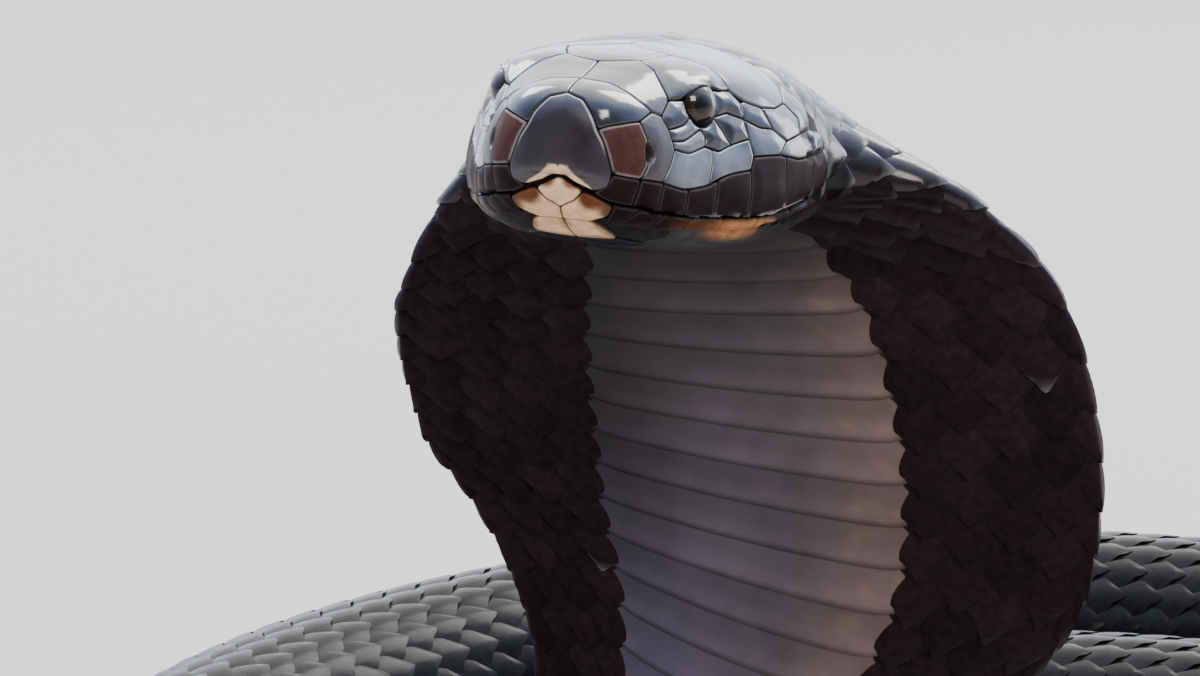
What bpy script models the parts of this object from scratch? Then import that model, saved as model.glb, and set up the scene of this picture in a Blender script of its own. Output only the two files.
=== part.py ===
"""A rearing black cobra above its loose coil, as solids. Metres, +Z up, the hood faces -Y.

The whole skin is one function: skin(s, w). s runs along the spine from the snout tip, in
millimetres, and w runs round the body: 0 along the back, 1 (or -1) along the belly.
"""

import math

import bmesh
import bpy
import numpy as np
from mathutils import Vector
from mathutils.geometry import delaunay_2d_cdt

MM = 0.001
GAP = 0.3  # left between two lengths of body
SHARP = math.radians(40)
LENGTH = 1600.0  # snout to tail tip along the spine

# Where the head is: the point between the eyes, its turn and its tilt
EYE_HEIGHT = 150.0
HEAD_TURN = math.radians(17)  # to the viewer's left
HEAD_LIFT = math.radians(8)  # nose up
HEAD_ROLL = math.radians(2)  # down on the viewer's right
EYE_AT = 14.5  # behind the snout tip
AXIS_DROP = 6.0  # the spine runs this far below the eyes
HEAD_END = 46.0
HEAD_BLEND = (39.0, 56.0)  # the head's sections turn into the neck's here
MOUTH = 0.6  # how far round the head the mouth line runs, as w
MOUTH_WIDTH = 0.012  # of the groove along it, as w
MOUTH_DEPTH = 0.7
MOUTH_END = (37.0, 41.0)  # the groove runs out between these

# The head's size at stations behind the snout tip: half width, top, mouth line and chin,
# the last three measured from the level of the eyes
HEAD_STATIONS = (0.0, 0.5, 1.2, 2.2, 4.0, 6.5, 10.0, 14.5, 21.0, 28.0, 36.0, 44.0, 52.0)
HEAD_WIDTH = (0.0, 4.2, 5.9, 7.3, 8.9, 10.4, 12.2, 14.2, 16.9, 18.9, 19.8, 19.8, 21.5)
HEAD_TOP = (-4.2, -1.2, 0.1, 0.9, 1.5, 1.9, 2.7, 3.9, 4.5, 4.8, 4.8, 4.5, 3.9)
HEAD_MOUTH = (-7.0, -7.9, -8.6, -9.3, -10.3, -11.3, -12.0, -12.3, -12.6, -12.4, -12.0, -12.0, -12.0)
HEAD_CHIN = (-7.2, -8.1, -10.3, -12.0, -13.4, -14.6, -15.7, -16.6, -17.5, -18.0, -18.0, -17.5, -16.6)

# The head's half section above the mouth (across, down) and below it, at the snout, the
# eyes and the nape
ABOVE_AT = (0.0, 0.15, 0.3, 0.45, 0.58, 0.7, 0.82, 0.92, 1.0)
ABOVE_ACROSS = {
    "snout": (0.0, 0.27, 0.52, 0.73, 0.86, 0.94, 0.985, 1.0, 0.98),
    "eyes": (0.0, 0.27, 0.51, 0.71, 0.835, 0.90, 0.96, 1.0, 0.985),
    "nape": (0.0, 0.27, 0.52, 0.74, 0.88, 0.955, 1.0, 1.0, 0.98),
}
ABOVE_DOWN = {
    "snout": (0.0, 0.02, 0.07, 0.17, 0.32, 0.49, 0.68, 0.85, 1.0),
    "eyes": (0.0, 0.01, 0.035, 0.10, 0.26, 0.44, 0.64, 0.84, 1.0),
    "nape": (0.0, 0.03, 0.10, 0.22, 0.38, 0.55, 0.73, 0.88, 1.0),
}
BELOW_AT = (0.0, 0.2, 0.45, 0.7, 1.0)
BELOW_ACROSS = (0.975, 0.94, 0.76, 0.43, 0.0)
BELOW_DOWN = (0.0, 0.26, 0.70, 0.94, 1.0)
SHAPE_STATIONS = (7.0, 14.5, 34.0)  # where snout, eyes and nape are reached

# The neck, body and tail at distances along the spine: half width, height of the back and
# depth of the belly from the spine, and how far the section is a spread hood
BODY_STATIONS = (
    (40, 50, 57, 64, 72, 82, 94, 106, 118, 130, 142, 155)
    + (175, 220, 400, 700, 1000, 1200, 1350, 1480, 1560, 1600)
)
BODY_WIDTH = (
    (19.8, 23.5, 30.0, 34.8, 38.3, 41.2, 42.0, 41.0, 36.0, 29.3, 23.0, 18.6)
    + (17.2, 17.6, 18.8, 19.6, 18.6, 15.8, 12.0, 7.4, 3.6, 1.3)
)
BODY_BACK = (
    (10.5, 9.6, 9.0, 8.6, 8.4, 8.4, 8.6, 9.0, 9.8, 11.2, 13.0, 14.8)
    + (16.2, 17.2, 18.4, 19.0, 18.0, 15.4, 11.8, 7.3, 3.6, 1.3)
)
BODY_BELLY = (
    (10.5, 9.6, 8.8, 8.4, 8.2, 8.2, 8.4, 8.8, 9.6, 11.0, 12.8, 14.4)
    + (15.4, 16.2, 17.2, 17.8, 17.0, 14.6, 11.2, 7.0, 3.5, 1.3)
)
HOOD_SHARE = (0.1, 0.45, 0.8, 0.95, 1.0, 1.0, 1.0, 1.0, 1.0, 0.95, 0.75, 0.35) + (0.0,) * 10
HOOD_EDGE = 2.6  # half thickness of the hood's rim
HOOD_CUP = 3.0  # how far the rim comes forward
SLANT_STATIONS = (56, 64, 72, 82, 94, 118, 150, 180)
SLANT = (0.0, 0.05, 0.11, 0.17, 0.21, 0.20, 0.10, 0.0)  # the hood's ribs lie lower on the viewer's right

# The spine from the nape down to the floor, then a spiral on the floor
NECK_PATH = (
    (11.2, 36.0, 135.0),
    (14.4, 42.8, 124.0),
    (17.2, 47.2, 110.0),
    (19.0, 51.5, 95.0),
    (19.0, 55.5, 80.0),
    (16.5, 60.5, 66.0),
    (11.5, 67.5, 52.0),
    (4.5, 78.0, 38.5),
    (-3.5, 93.0, 27.0),
    (-9.0, 108.5, 19.5),
)
COIL_CENTRE = (50.0, 85.0)
COIL_START = math.radians(34)  # clockwise from the west, seen from above
COIL_RADIUS = 66.0
COIL_GROWTH = 50.0  # each turn
PRESS = 1.0  # the belly is pressed flat by this much on the floor
FLOOR_FROM = 150.0  # the body may meet the floor from here on

EYE_RADIUS = 2.9
EYE_SIDE = 10.5
EYE_DROP = 0.5
NOSTRIL_AT = (4.15, 0.445)
NOSTRIL_RADIUS = 1.0

HOOD_STEP, HOOD_COLUMNS = 5.0, 36
BODY_STEP, BODY_COLUMNS = 11.0, 20

# The head's shields, as (distance behind the snout tip, w) round each outline. The first are
# single, with one half of the outline here, and the others come in pairs.
SINGLE_SHIELDS = {
    "rostral": (
        (1.7, 0), (1.3, 0.1), (0.75, 0.22), (0.62, 0.33), (0.8, 0.45),
        (1.0, 0.55), (0.85, 0.7), (0.5, 0.86), (0.4, 1),
    ),
    "frontal": ((12.5, 0), (14.4, 0.103), (20.0, 0.118), (23.8, 0)),
    "mental": ((0.75, 1), (0.78, 0.9), (1.3, 0.9), (1.65, 1)),
}
PAIRED_SHIELDS = {
    "internasal": (
        (1.9, 0), (5.9, 0), (6.2, 0.13), (5.6, 0.25),
        (3.0, 0.33), (1.0, 0.33), (1.0, 0.22), (1.5, 0.1),
    ),
    "prefrontal": (
        (6.1, 0), (12.2, 0), (14.1, 0.1), (10.8, 0.225),
        (9.5, 0.285), (7.4, 0.31), (5.9, 0.25), (6.5, 0.13),
    ),
    "supraocular": (
        (14.6, 0.108), (20.0, 0.125), (20.6, 0.24), (18.2, 0.3),
        (14.6, 0.3), (11.3, 0.285), (11.1, 0.225),
    ),
    "parietal": (
        (24.2, 0), (35.5, 0), (36.5, 0.1), (35.0, 0.22), (31.0, 0.32),
        (24.2, 0.33), (19.0, 0.305), (21.0, 0.245), (20.4, 0.122),
    ),
    "front_nasal": ((1.1, 0.355), (3.2, 0.345), (3.9, 0.45), (3.2, 0.55), (1.3, 0.552), (0.95, 0.47)),
    "back_nasal": ((4.5, 0.345), (7.2, 0.33), (7.4, 0.43), (6.6, 0.53), (4.3, 0.555), (5.4, 0.45)),
    "preocular": (
        (7.6, 0.33), (9.7, 0.3), (11.3, 0.315), (11.3, 0.4), (12.2, 0.44), (9.9, 0.435), (7.7, 0.425),
    ),
    "postocular": ((17.9, 0.315), (20.0, 0.335), (19.8, 0.425), (17.2, 0.425), (17.9, 0.37)),
    "subocular": ((16.9, 0.432), (19.8, 0.432), (19.9, 0.475), (15.5, 0.48), (13.2, 0.46), (14.6, 0.45)),
    "front_lower_lip": (
        (1.85, 0.985), (1.5, 0.91), (0.85, 0.875), (0.95, 0.79),
        (1.3, 0.69), (2.0, 0.66), (2.9, 0.8), (2.6, 0.985),
    ),
    "cheek_front": ((7.6, 0.435), (10.2, 0.44), (13.4, 0.468), (12.7, 0.535), (9.0, 0.54), (6.9, 0.53)),
    "cheek_back": ((13.7, 0.47), (15.5, 0.487), (20.0, 0.482), (20.0, 0.505), (16.4, 0.52), (13.0, 0.533)),
    "temporal_1": ((20.3, 0.34), (24.6, 0.347), (25.0, 0.41), (20.1, 0.43)),
    "temporal_2": ((20.1, 0.438), (25.0, 0.42), (30.0, 0.46), (25.0, 0.482), (20.2, 0.475)),
    "temporal_3": ((25.0, 0.345), (32.5, 0.35), (33.5, 0.41), (30.4, 0.452), (25.4, 0.41)),
    "temporal_4": ((30.5, 0.46), (34.0, 0.42), (39.5, 0.43), (39.5, 0.49), (33.0, 0.49), (29.0, 0.485)),
}
LIP_TOP = (
    (1.3, 0.56), (3.2, 0.558), (6.4, 0.542), (8.9, 0.546), (12.7, 0.542),
    (16.4, 0.525), (20.0, 0.512), (25.0, 0.492), (31.0, 0.497), (40.0, 0.505),
)
LIP_EDGE = 0.585
UPPER_LIP_ENDS = (1.1, 3.6, 6.6, 10.5, 15.5, 21.5, 29.0, 40.0)
LOWER_LIP_ENDS = (2.1, 4.2, 7.2, 11.5, 17.5, 24.5, 32.5, 41.0)
LOWER_LIP_EDGE = 0.618
CHIN_EDGE = ((2.1, 0.68), (3.2, 0.79), (5.6, 0.79), (9.5, 0.76), (15.0, 0.73), (41.0, 0.70))
CHIN_SHIELDS = ((2.9, 3.4, 8.2), (8.5, 9.2, 14.0))  # front beside the midline, front outside, back
SHIELD_SEAM = 0.25  # each outline is drawn in by this
SHIELD_HEIGHT = 0.6
RIM_HEIGHT = 0.36
RIM_WIDTH = 0.55  # from the rim up to the full height
SHIELD_ROOT = 1.1  # how far it is sunk in the head
SHIELD_STEP = 3.8  # between points of an outline
SHIELD_GRID = 4.0  # between points inside it

# The belly's scutes: half their span as a share of w, from the throat to the tail
SCUTE_STATIONS = (50, 80, 130, 180, 1600)
SCUTE_SPAN = (0.15, 0.155, 0.17, 0.22, 0.23)
SCUTE_HEIGHT = 0.55  # of the back edge
SCUTE_FRONT = 0.12  # of the front edge
SCUTE_ROOT = 1.0
SCUTE_PITCH = 7.2
SCUTE_LENGTH = 6.7
SCUTE_COLUMNS = 7
SCUTE_RUN = (48.5, 186.0)  # from behind the chin to where the belly nears the floor

# The lengths of body, each from where the last one ends
LENGTHS = (
    ("hood", 150.0),
    ("neck", 215.0),
    ("coil_1", 315.0),
    ("coil_2", 415.0),
    ("coil_3", 520.0),
    ("coil_4", 630.0),
    ("coil_5", 745.0),
    ("coil_6", 865.0),
    ("coil_7", 990.0),
    ("coil_8", 1115.0),
    ("coil_9", 1245.0),
    ("tail_base", 1400.0),
    ("tail_tip", LENGTH),
)


def smooth(x, xs, ys):
    """A smooth curve through the points (xs, ys), with no overshoot."""
    x, xs, ys = np.asarray(x, float), np.asarray(xs, float), np.asarray(ys, float)
    steps = np.diff(xs)
    slopes = np.diff(ys) / steps
    ends = np.zeros(len(xs))
    same = slopes[:-1] * slopes[1:] > 0
    mean = 2 * slopes[:-1] * slopes[1:] / np.where(same, slopes[:-1] + slopes[1:], 1)
    ends[1:-1] = np.where(same, mean, 0)
    ends[0], ends[-1] = slopes[0], slopes[-1]
    x = np.clip(x, xs[0], xs[-1])
    i = np.clip(np.searchsorted(xs, x, side="right") - 1, 0, len(steps) - 1)
    t = (x - xs[i]) / steps[i]
    a = (2 * t**3 - 3 * t**2 + 1) * ys[i] + (3 * t**2 - 2 * t**3) * ys[i + 1]
    b = (t**3 - 2 * t**2 + t) * ends[i] + (t**3 - t**2) * ends[i + 1]
    return a + b * steps[i]


def ease(x, start, end):
    """0 before start, 1 after end, and a smooth step between."""
    t = np.clip((np.asarray(x, float) - start) / (end - start), 0, 1)
    return t * t * (3 - 2 * t)


def unit(v):
    return v / np.linalg.norm(v, axis=-1, keepdims=True)


def head_axes():
    """Back along the head, across to the viewer's right, and up from the crown."""
    turn, lift = HEAD_TURN, HEAD_LIFT
    back = np.array((math.sin(turn) * math.cos(lift), math.cos(turn) * math.cos(lift), -math.sin(lift)))
    level = np.array((math.cos(turn), -math.sin(turn), 0.0))
    plumb = np.array((math.sin(turn) * math.sin(lift), math.cos(turn) * math.sin(lift), math.cos(lift)))
    across = level * math.cos(HEAD_ROLL) - plumb * math.sin(HEAD_ROLL)
    up = plumb * math.cos(HEAD_ROLL) + level * math.sin(HEAD_ROLL)
    return back, across, up


BACK, ACROSS, UP = head_axes()


def spine_path():
    """Points of the spine close together, with the distance and the back's direction at each."""
    eyes = np.array((0.0, 0.0, EYE_HEIGHT))
    head = [eyes + (a - EYE_AT) * BACK - AXIS_DROP * UP for a in np.linspace(0, 42, 7)]
    points = head + [np.array(p) for p in NECK_PATH]
    angle = COIL_START
    run = 220.0
    while run < LENGTH + 60:
        radius = COIL_RADIUS + COIL_GROWTH * angle / (2 * math.pi)
        height = float(smooth(run, BODY_STATIONS, BODY_BELLY)) - PRESS
        centre = np.array((COIL_CENTRE[0], COIL_CENTRE[1], height))
        points.append(centre + radius * np.array((-math.cos(angle), math.sin(angle), 0)))
        angle += 14.0 / radius
        run += 14.0
    points = np.array(points)
    # A centripetal curve through the points
    dense = []
    for i in range(len(points) - 1):
        p0, p1, p2, p3 = (points[min(max(i + k, 0), len(points) - 1)] for k in (-1, 0, 1, 2))
        t = np.linspace(0, 1, 20, endpoint=False)[:, None]
        square, cube = 2 * p0 - 5 * p1 + 4 * p2 - p3, 3 * p1 - p0 - 3 * p2 + p3
        dense.append((2 * p1 + (p2 - p0) * t + square * t**2 + cube * t**3) / 2)
    dense = np.concatenate(dense)
    run = np.concatenate([[0], np.cumsum(np.linalg.norm(np.diff(dense, axis=0), axis=1))])
    return dense, run


SPINE, RUN = spine_path()
TANGENT = unit(np.gradient(SPINE, RUN, axis=0))
BACK_AT = (0, 42, 62, 75, 100, 125, 200, 1e4)
BACKS = np.array(
    [UP, UP, (0.2, 0.8, 0.6), (0.16, 0.96, 0.26), (0.13, 0.96, 0.2), (0.10, 0.94, 0.30), (0, 0, 1), (0, 0, 1)]
)


def spine(s):
    """The spine's place at s, with the directions across, up out of the back, and along."""
    place = np.stack([np.interp(s, RUN, SPINE[:, k]) for k in range(3)], -1)
    along = unit(np.stack([np.interp(s, RUN, TANGENT[:, k]) for k in range(3)], -1))
    up = np.stack([smooth(s, BACK_AT, BACKS[:, k]) for k in range(3)], -1)
    up = unit(up - along * (up * along).sum(-1, keepdims=True))
    return place, np.cross(along, up), up, along


def head_section(s, v):
    """Across and up from the spine, v from the crown (0) to the chin (1)."""
    root, stations = np.sqrt(np.clip(s, 0, 52)), np.sqrt(HEAD_STATIONS)
    width = smooth(root, stations, HEAD_WIDTH)
    top = smooth(root, stations, HEAD_TOP)
    mouth = smooth(root, stations, HEAD_MOUTH)
    chin = smooth(root, stations, HEAD_CHIN)
    above = np.clip(v / MOUTH, 0, 1)
    below = np.clip((v - MOUTH) / (1 - MOUTH), 0, 1)
    snout, eyes, nape = (
        (smooth(above, ABOVE_AT, ABOVE_ACROSS[k]), smooth(above, ABOVE_AT, ABOVE_DOWN[k]))
        for k in ("snout", "eyes", "nape")
    )
    first, second = ease(s, *SHAPE_STATIONS[:2]), ease(s, *SHAPE_STATIONS[1:])
    across, down = (snout[k] + (eyes[k] - snout[k]) * first + (nape[k] - eyes[k]) * second for k in (0, 1))
    low = v > MOUTH
    out = width * np.where(low, smooth(below, BELOW_AT, BELOW_ACROSS), across)
    groove = MOUTH_DEPTH * np.exp(-(((v - MOUTH) / MOUTH_WIDTH) ** 2)) * (1 - ease(s, *MOUTH_END))
    out = np.maximum(out - groove, 0)
    chin_drop = (mouth - chin) * smooth(below, BELOW_AT, BELOW_DOWN)
    up = np.where(low, mouth - chin_drop, top - (top - mouth) * down)
    return out, up + AXIS_DROP


def body_section(s, v):
    width, back, belly, hood = (
        smooth(s, BODY_STATIONS, row) for row in (BODY_WIDTH, BODY_BACK, BODY_BELLY, HOOD_SHARE)
    )
    turn = math.pi * v
    out, lift = np.sin(turn), np.cos(turn)
    depth = np.where(lift > 0, back, belly)
    round_up = depth * np.where(lift > 0, lift, -np.abs(lift) ** 0.8)
    bump = (1 - out**2) ** 1.6
    edge = np.minimum(HOOD_EDGE, depth)
    hood_up = np.sign(lift) * (edge * np.abs(lift) ** 0.6 + (depth - edge) * bump) - HOOD_CUP * out**2
    return width * out, round_up + (hood_up - round_up) * hood


def skin(s, w):
    """The place of the skin at s along the spine and w round it."""
    s, w = np.broadcast_arrays(np.asarray(s, float), np.asarray(w, float))
    v = np.abs(w)
    head, body = head_section(s, v), body_section(s, v)
    share = ease(s, *HEAD_BLEND)
    out, up = (head[k] + (body[k] - head[k]) * share for k in (0, 1))
    place, across, back, along = spine(s)
    side = (np.sign(w) * out)[..., None]
    slant = smooth(s, SLANT_STATIONS, SLANT)[..., None]
    point = place + (across + along * slant) * side + back * up[..., None]
    on_floor = (s > FLOOR_FROM) & (point[..., 2] < 0)
    point[..., 2] = np.where(on_floor, 0, point[..., 2])
    return point


def skin_normal(s, w):
    """The direction out of the skin."""
    e = 0.05
    along = skin(s + e, w) - skin(np.maximum(s - e, 0), w)
    round_ = skin(s, w + 0.004) - skin(s, w - 0.004)
    return unit(np.cross(along, round_))


def material(name, colour, roughness):
    made = bpy.data.materials.new(name)
    made.use_nodes = True
    shader = made.node_tree.nodes["Principled BSDF"]
    shader.inputs["Base Color"].default_value = (*colour, 1)
    shader.inputs["Roughness"].default_value = roughness
    return made


def add_object(name, bm, collection, finish):
    """A named object from the bmesh, in metres, with its faces turned out."""
    bmesh.ops.recalc_face_normals(bm, faces=bm.faces)
    bmesh.ops.scale(bm, vec=(MM, MM, MM), verts=bm.verts)
    mesh = bpy.data.meshes.new(name)
    bm.to_mesh(mesh)
    bm.free()
    obj = bpy.data.objects.new(name, mesh)
    collection.objects.link(obj)
    mesh.materials.append(finish)
    mesh.shade_smooth()
    mesh.set_sharp_from_angle(angle=SHARP)
    return obj


def loft(stations, columns):
    """A closed tube through rings of skin, with a fan over each end."""
    bm = bmesh.new()
    rings = []
    for s in stations:
        rings.append([bm.verts.new(p) for p in skin(np.full(len(columns), s), columns)])
    count = len(columns)
    for a, b in zip(rings, rings[1:]):
        for i in range(count):
            j = (i + 1) % count
            bm.faces.new((a[i], a[j], b[j], b[i]))
    for ring in (rings[0], rings[-1]):
        middle = bm.verts.new(sum((v.co for v in ring), Vector()) / count)
        for i in range(count):
            bm.faces.new((ring[i], ring[(i + 1) % count], middle))
    bmesh.ops.triangulate(bm, faces=bm.faces)
    return bm


def spread(start, end, step):
    return np.linspace(start, end, max(2, int(round((end - start) / step)) + 1))


def chart(a, w):
    """The head's skin laid out flat round the snout tip, so that an outline can cross it."""
    return math.sqrt(a) * math.sin(math.pi * w), math.sqrt(a) * math.cos(math.pi * w)


def from_chart(points):
    points = np.asarray(points, float)
    w = np.arctan2(points[:, 0], points[:, 1]) / math.pi
    return skin(np.maximum((points**2).sum(1), 0.02), w)


def divided(outline, step):
    """The outline with points added so that no side is much longer than step on the skin."""
    outline = np.array(outline, float)
    found = []
    for p, q in zip(outline, np.roll(outline, -1, axis=0)):
        ends = from_chart([p, q])
        pieces = max(1, int(np.linalg.norm(ends[1] - ends[0]) / step + 0.5))
        found += [p + (q - p) * k / pieces for k in range(pieces)]
    return np.array(found)


def drawn_in(outline, by):
    """The outline moved in towards its middle by about this much on the skin."""
    middle = outline.mean(0)
    reach = np.linalg.norm(from_chart(outline) - from_chart([middle]), axis=1)
    share = np.clip(1 - by / reach, 0.1, 1)[:, None]
    return middle + (outline - middle) * share


def outwards(points, near):
    """The direction out of the skin at chart points."""
    points = np.asarray(points, float)
    e = 0.01
    a = from_chart(points + (e, 0)) - from_chart(points - (e, 0))
    b = from_chart(points + (0, e)) - from_chart(points - (0, e))
    normal = unit(np.cross(a, b))
    place = from_chart(points)
    away = ((place - near) * normal).sum(1, keepdims=True)
    return normal * np.where(away < 0, -1, 1)


def shield(outline):
    """One raised shield as a closed mesh: a crowned top, and a root sunk in the head."""
    rim = drawn_in(divided([chart(*p) for p in outline], SHIELD_STEP), SHIELD_SEAM)
    inner = np.array([p for p in drawn_in(rim, RIM_WIDTH) if within(p, rim)])
    span = rim.max(0) - rim.min(0)
    size = np.linalg.norm(np.diff(from_chart([rim.min(0), rim.max(0)]), axis=0))
    count = int(size / SHIELD_GRID)
    rows = (np.arange(count) + 0.5) / max(1, count)
    grid = [rim.min(0) + span * (x, y) for x in rows for y in rows]
    inside = [p for p in grid if within(p, drawn_in(inner, 1.2))] or [inner.mean(0)]
    flat = np.concatenate([rim, inner, inside])
    count = len(rim)
    edges = [(i, (i + 1) % count) for i in range(count)]
    points, _, faces, *_ = delaunay_2d_cdt([Vector(p) for p in flat], edges, [], 1, 1e-6)
    points = np.array([tuple(p) for p in points])
    heart = skin(np.array([12.0]), np.array([0.0]))[0] - 10 * UP
    normal = outwards(points, heart)
    raised = np.full(len(points), SHIELD_HEIGHT)
    raised[:count] = RIM_HEIGHT
    top = from_chart(points) + normal * raised[:, None]
    root = from_chart(rim) - outwards(rim, heart) * SHIELD_ROOT
    bm = bmesh.new()
    tops = [bm.verts.new(p) for p in top]
    roots = [bm.verts.new(p) for p in root]
    middle = bm.verts.new(root.mean(0))
    for face in faces:
        bm.faces.new([tops[i] for i in face])
    for i in range(count):
        j = (i + 1) % count
        bm.faces.new((tops[j], tops[i], roots[i], roots[j]))
        bm.faces.new((roots[j], roots[i], middle))
    return bm


def within(point, outline):
    """Whether the point is inside the outline."""
    x, y = point
    crossed = 0
    for p, q in zip(outline, np.roll(outline, -1, axis=0)):
        if (p[1] > y) != (q[1] > y):
            crossed += x < p[0] + (y - p[1]) * (q[0] - p[0]) / (q[1] - p[1])
    return crossed % 2 == 1


def lip_shields(ends, near_lip, far_edge):
    """A row of shields along a lip, each from one end to the next."""
    far_a, far_w = zip(*far_edge)
    for start, end in zip(ends, ends[1:]):
        far_start, far_end = np.interp((start, end), far_a, far_w)
        middle = (start + end) / 2
        yield (
            (start, near_lip), (middle, near_lip), (end, near_lip),
            (end, far_end), (middle, np.interp(middle, far_a, far_w)), (start, far_start),
        )


def chin_shields():
    for front, outer_front, back in CHIN_SHIELDS:
        outer = ((back * 0.97, 0.9), (outer_front * 1.25, 0.87), (outer_front, 0.9))
        yield ((front, 0.985), (back, 0.985), *outer)


def head_outlines():
    """Every outline, whole and on its own side."""
    for half in SINGLE_SHIELDS.values():
        yield list(half) + [(a, -w) for a, w in half[::-1] if w not in (0, 1)]
    pairs = list(PAIRED_SHIELDS.values())
    pairs += lip_shields(UPPER_LIP_ENDS, LIP_EDGE, LIP_TOP)
    pairs += lip_shields(LOWER_LIP_ENDS, LOWER_LIP_EDGE, CHIN_EDGE)
    pairs += chin_shields()
    for outline in pairs:
        yield outline
        yield [(a, -w) for a, w in outline]


def scute(start, end):
    """One belly scute as a closed mesh across the belly, its back edge raised."""
    half = float(np.interp(start, SCUTE_STATIONS, SCUTE_SPAN))
    across = np.linspace(-half, half, SCUTE_COLUMNS)
    w = np.where(across < 0, -1 - across, 1 - across)
    side = np.abs(across) > half - 1e-6
    rows = []
    for s, height in ((start, SCUTE_FRONT), (end, SCUTE_HEIGHT)):
        place = skin(np.full(SCUTE_COLUMNS, s), w)
        middle = spine(np.array([s]))[0][0]
        out = -unit(skin_normal(np.full(SCUTE_COLUMNS, s), w))
        out *= np.where(((place - middle) * out).sum(1) < 0, -1, 1)[:, None]
        lift = np.where(side, SCUTE_FRONT, height)
        over = place + out * lift[:, None]
        rows.append((over, place - out * SCUTE_ROOT))
    bm = bmesh.new()
    (a, c), (b, d) = [[[bm.verts.new(p) for p in row] for row in pair] for pair in rows]
    for i in range(SCUTE_COLUMNS - 1):
        for p, q in ((a, b), (d, c), (b, d), (c, a)):
            bm.faces.new((p[i], p[i + 1], q[i + 1], q[i]))
    bm.faces.new((a[0], b[0], d[0], c[0]))
    bm.faces.new((a[-1], c[-1], d[-1], b[-1]))
    bmesh.ops.triangulate(bm, faces=bm.faces)
    return bm


def scutes_between(start, stop):
    """The scutes that lie wholly between two places along the spine."""
    fronts = np.arange(SCUTE_RUN[0], SCUTE_RUN[1], SCUTE_PITCH)
    fitting = (fronts > start + GAP) & (fronts + SCUTE_LENGTH < stop - GAP)
    return [scute(s, s + SCUTE_LENGTH) for s in fronts[fitting]]


def joined(obj, pieces):
    """The object with the pieces united to it, as one closed surface."""
    plates = bpy.data.collections.new("plates")
    bpy.context.scene.collection.children.link(plates)
    for bm in pieces:
        add_object("plate", bm, plates, obj.data.materials[0])
    union = obj.modifiers.new("plates", "BOOLEAN")
    union.operation = "UNION"
    union.operand_type = "COLLECTION"
    union.collection = plates
    union.solver = "MANIFOLD"
    graph = bpy.context.evaluated_depsgraph_get()
    mesh = bpy.data.meshes.new_from_object(obj.evaluated_get(graph))
    obj.modifiers.clear()
    old, obj.data = obj.data, mesh
    bpy.data.meshes.remove(old)
    for piece in list(plates.objects):
        bpy.data.objects.remove(piece, do_unlink=True)
    bpy.data.collections.remove(plates)
    keep_largest(mesh)


def keep_largest(mesh):
    """Leaves only the largest closed surface of the mesh."""
    bm = bmesh.new()
    bm.from_mesh(mesh)
    left, groups = set(bm.verts), []
    while left:
        group, edge = set(), [left.pop()]
        while edge:
            vert = edge.pop()
            group.add(vert)
            near = {e.other_vert(vert) for e in vert.link_edges} & left
            left -= near
            edge += near
        groups.append(group)
    groups.sort(key=len)
    bmesh.ops.delete(bm, geom=[v for group in groups[:-1] for v in group], context="VERTS")
    bm.to_mesh(mesh)
    bm.free()


def eye_place(side):
    """The middle of the eyeball, side 1 for the snake's own left."""
    between = np.array((0, 0, EYE_HEIGHT)) - EYE_DROP * UP
    return between + side * EYE_SIDE * ACROSS


def ball(place, radius, segments):
    bm = bmesh.new()
    bmesh.ops.create_uvsphere(bm, u_segments=segments, v_segments=segments // 2, radius=radius)
    bmesh.ops.translate(bm, vec=place, verts=bm.verts)
    return bm


def hollow(obj, name, bm, collection):
    """Cuts this shape out of the object."""
    cutter = add_object(name, bm, collection, obj.data.materials[0])
    cutter.hide_render = True
    cutter.display_type = "WIRE"
    cut = obj.modifiers.new(name, "BOOLEAN")
    cut.operation = "DIFFERENCE"
    cut.object = cutter


def head_rings():
    """Where the head's rings stand: close together over the snout, and wider behind."""
    snout = (0.02, 0.25, 0.7, 1.2, 2.0, 3.2, 4.8)
    return np.concatenate([snout, spread(7.0, HEAD_END, 2.8)])


def head_columns():
    """Columns round the head, with one on each mouth line and one close on each side of it."""
    half = np.concatenate([np.linspace(0, 0.56, 9), [MOUTH], np.linspace(0.64, 1, 6)])
    return np.concatenate([half, -half[-2:0:-1]])


def add_lengths(collection, finish):
    """The hood, neck and coils, each a closed tube with its own flat ends."""
    start = HEAD_END
    for name, end in LENGTHS:
        stop = end - GAP if end < LENGTH else end
        step, count = (HOOD_STEP, HOOD_COLUMNS) if name == "hood" else (BODY_STEP, BODY_COLUMNS)
        columns = -1 + 2 * np.arange(count) / count
        length = add_object(name, loft(spread(start, stop, step), columns), collection, finish)
        if start < SCUTE_RUN[1]:
            joined(length, scutes_between(start, stop))
        start = end


def main():
    for obj in list(bpy.data.objects):
        bpy.data.objects.remove(obj, do_unlink=True)
    cobra = bpy.data.collections.new("cobra")
    cutters = bpy.data.collections.new("cutters")
    for collection in (cobra, cutters):
        bpy.context.scene.collection.children.link(collection)
    black = material("glossy black scales", (0.012, 0.011, 0.012), 0.3)
    glossy = material("eye", (0.01, 0.007, 0.005), 0.05)

    head = add_object("head", loft(head_rings(), head_columns()), cobra, black)
    joined(head, [shield(outline) for outline in head_outlines()])
    add_lengths(cobra, black)
    for side, name in ((1, "left"), (-1, "right")):
        add_object("eye_" + name, ball(eye_place(side), EYE_RADIUS, 20), cobra, glossy)
        hollow(head, "socket_" + name, ball(eye_place(side), EYE_RADIUS + GAP, 20), cutters)
        nostril = skin(NOSTRIL_AT[0], side * NOSTRIL_AT[1]) + 0.3 * ACROSS * side
        hollow(head, "nostril_" + name, ball(nostril, NOSTRIL_RADIUS, 10), cutters)
    stand_on_origin(cobra, cutters)


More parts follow.
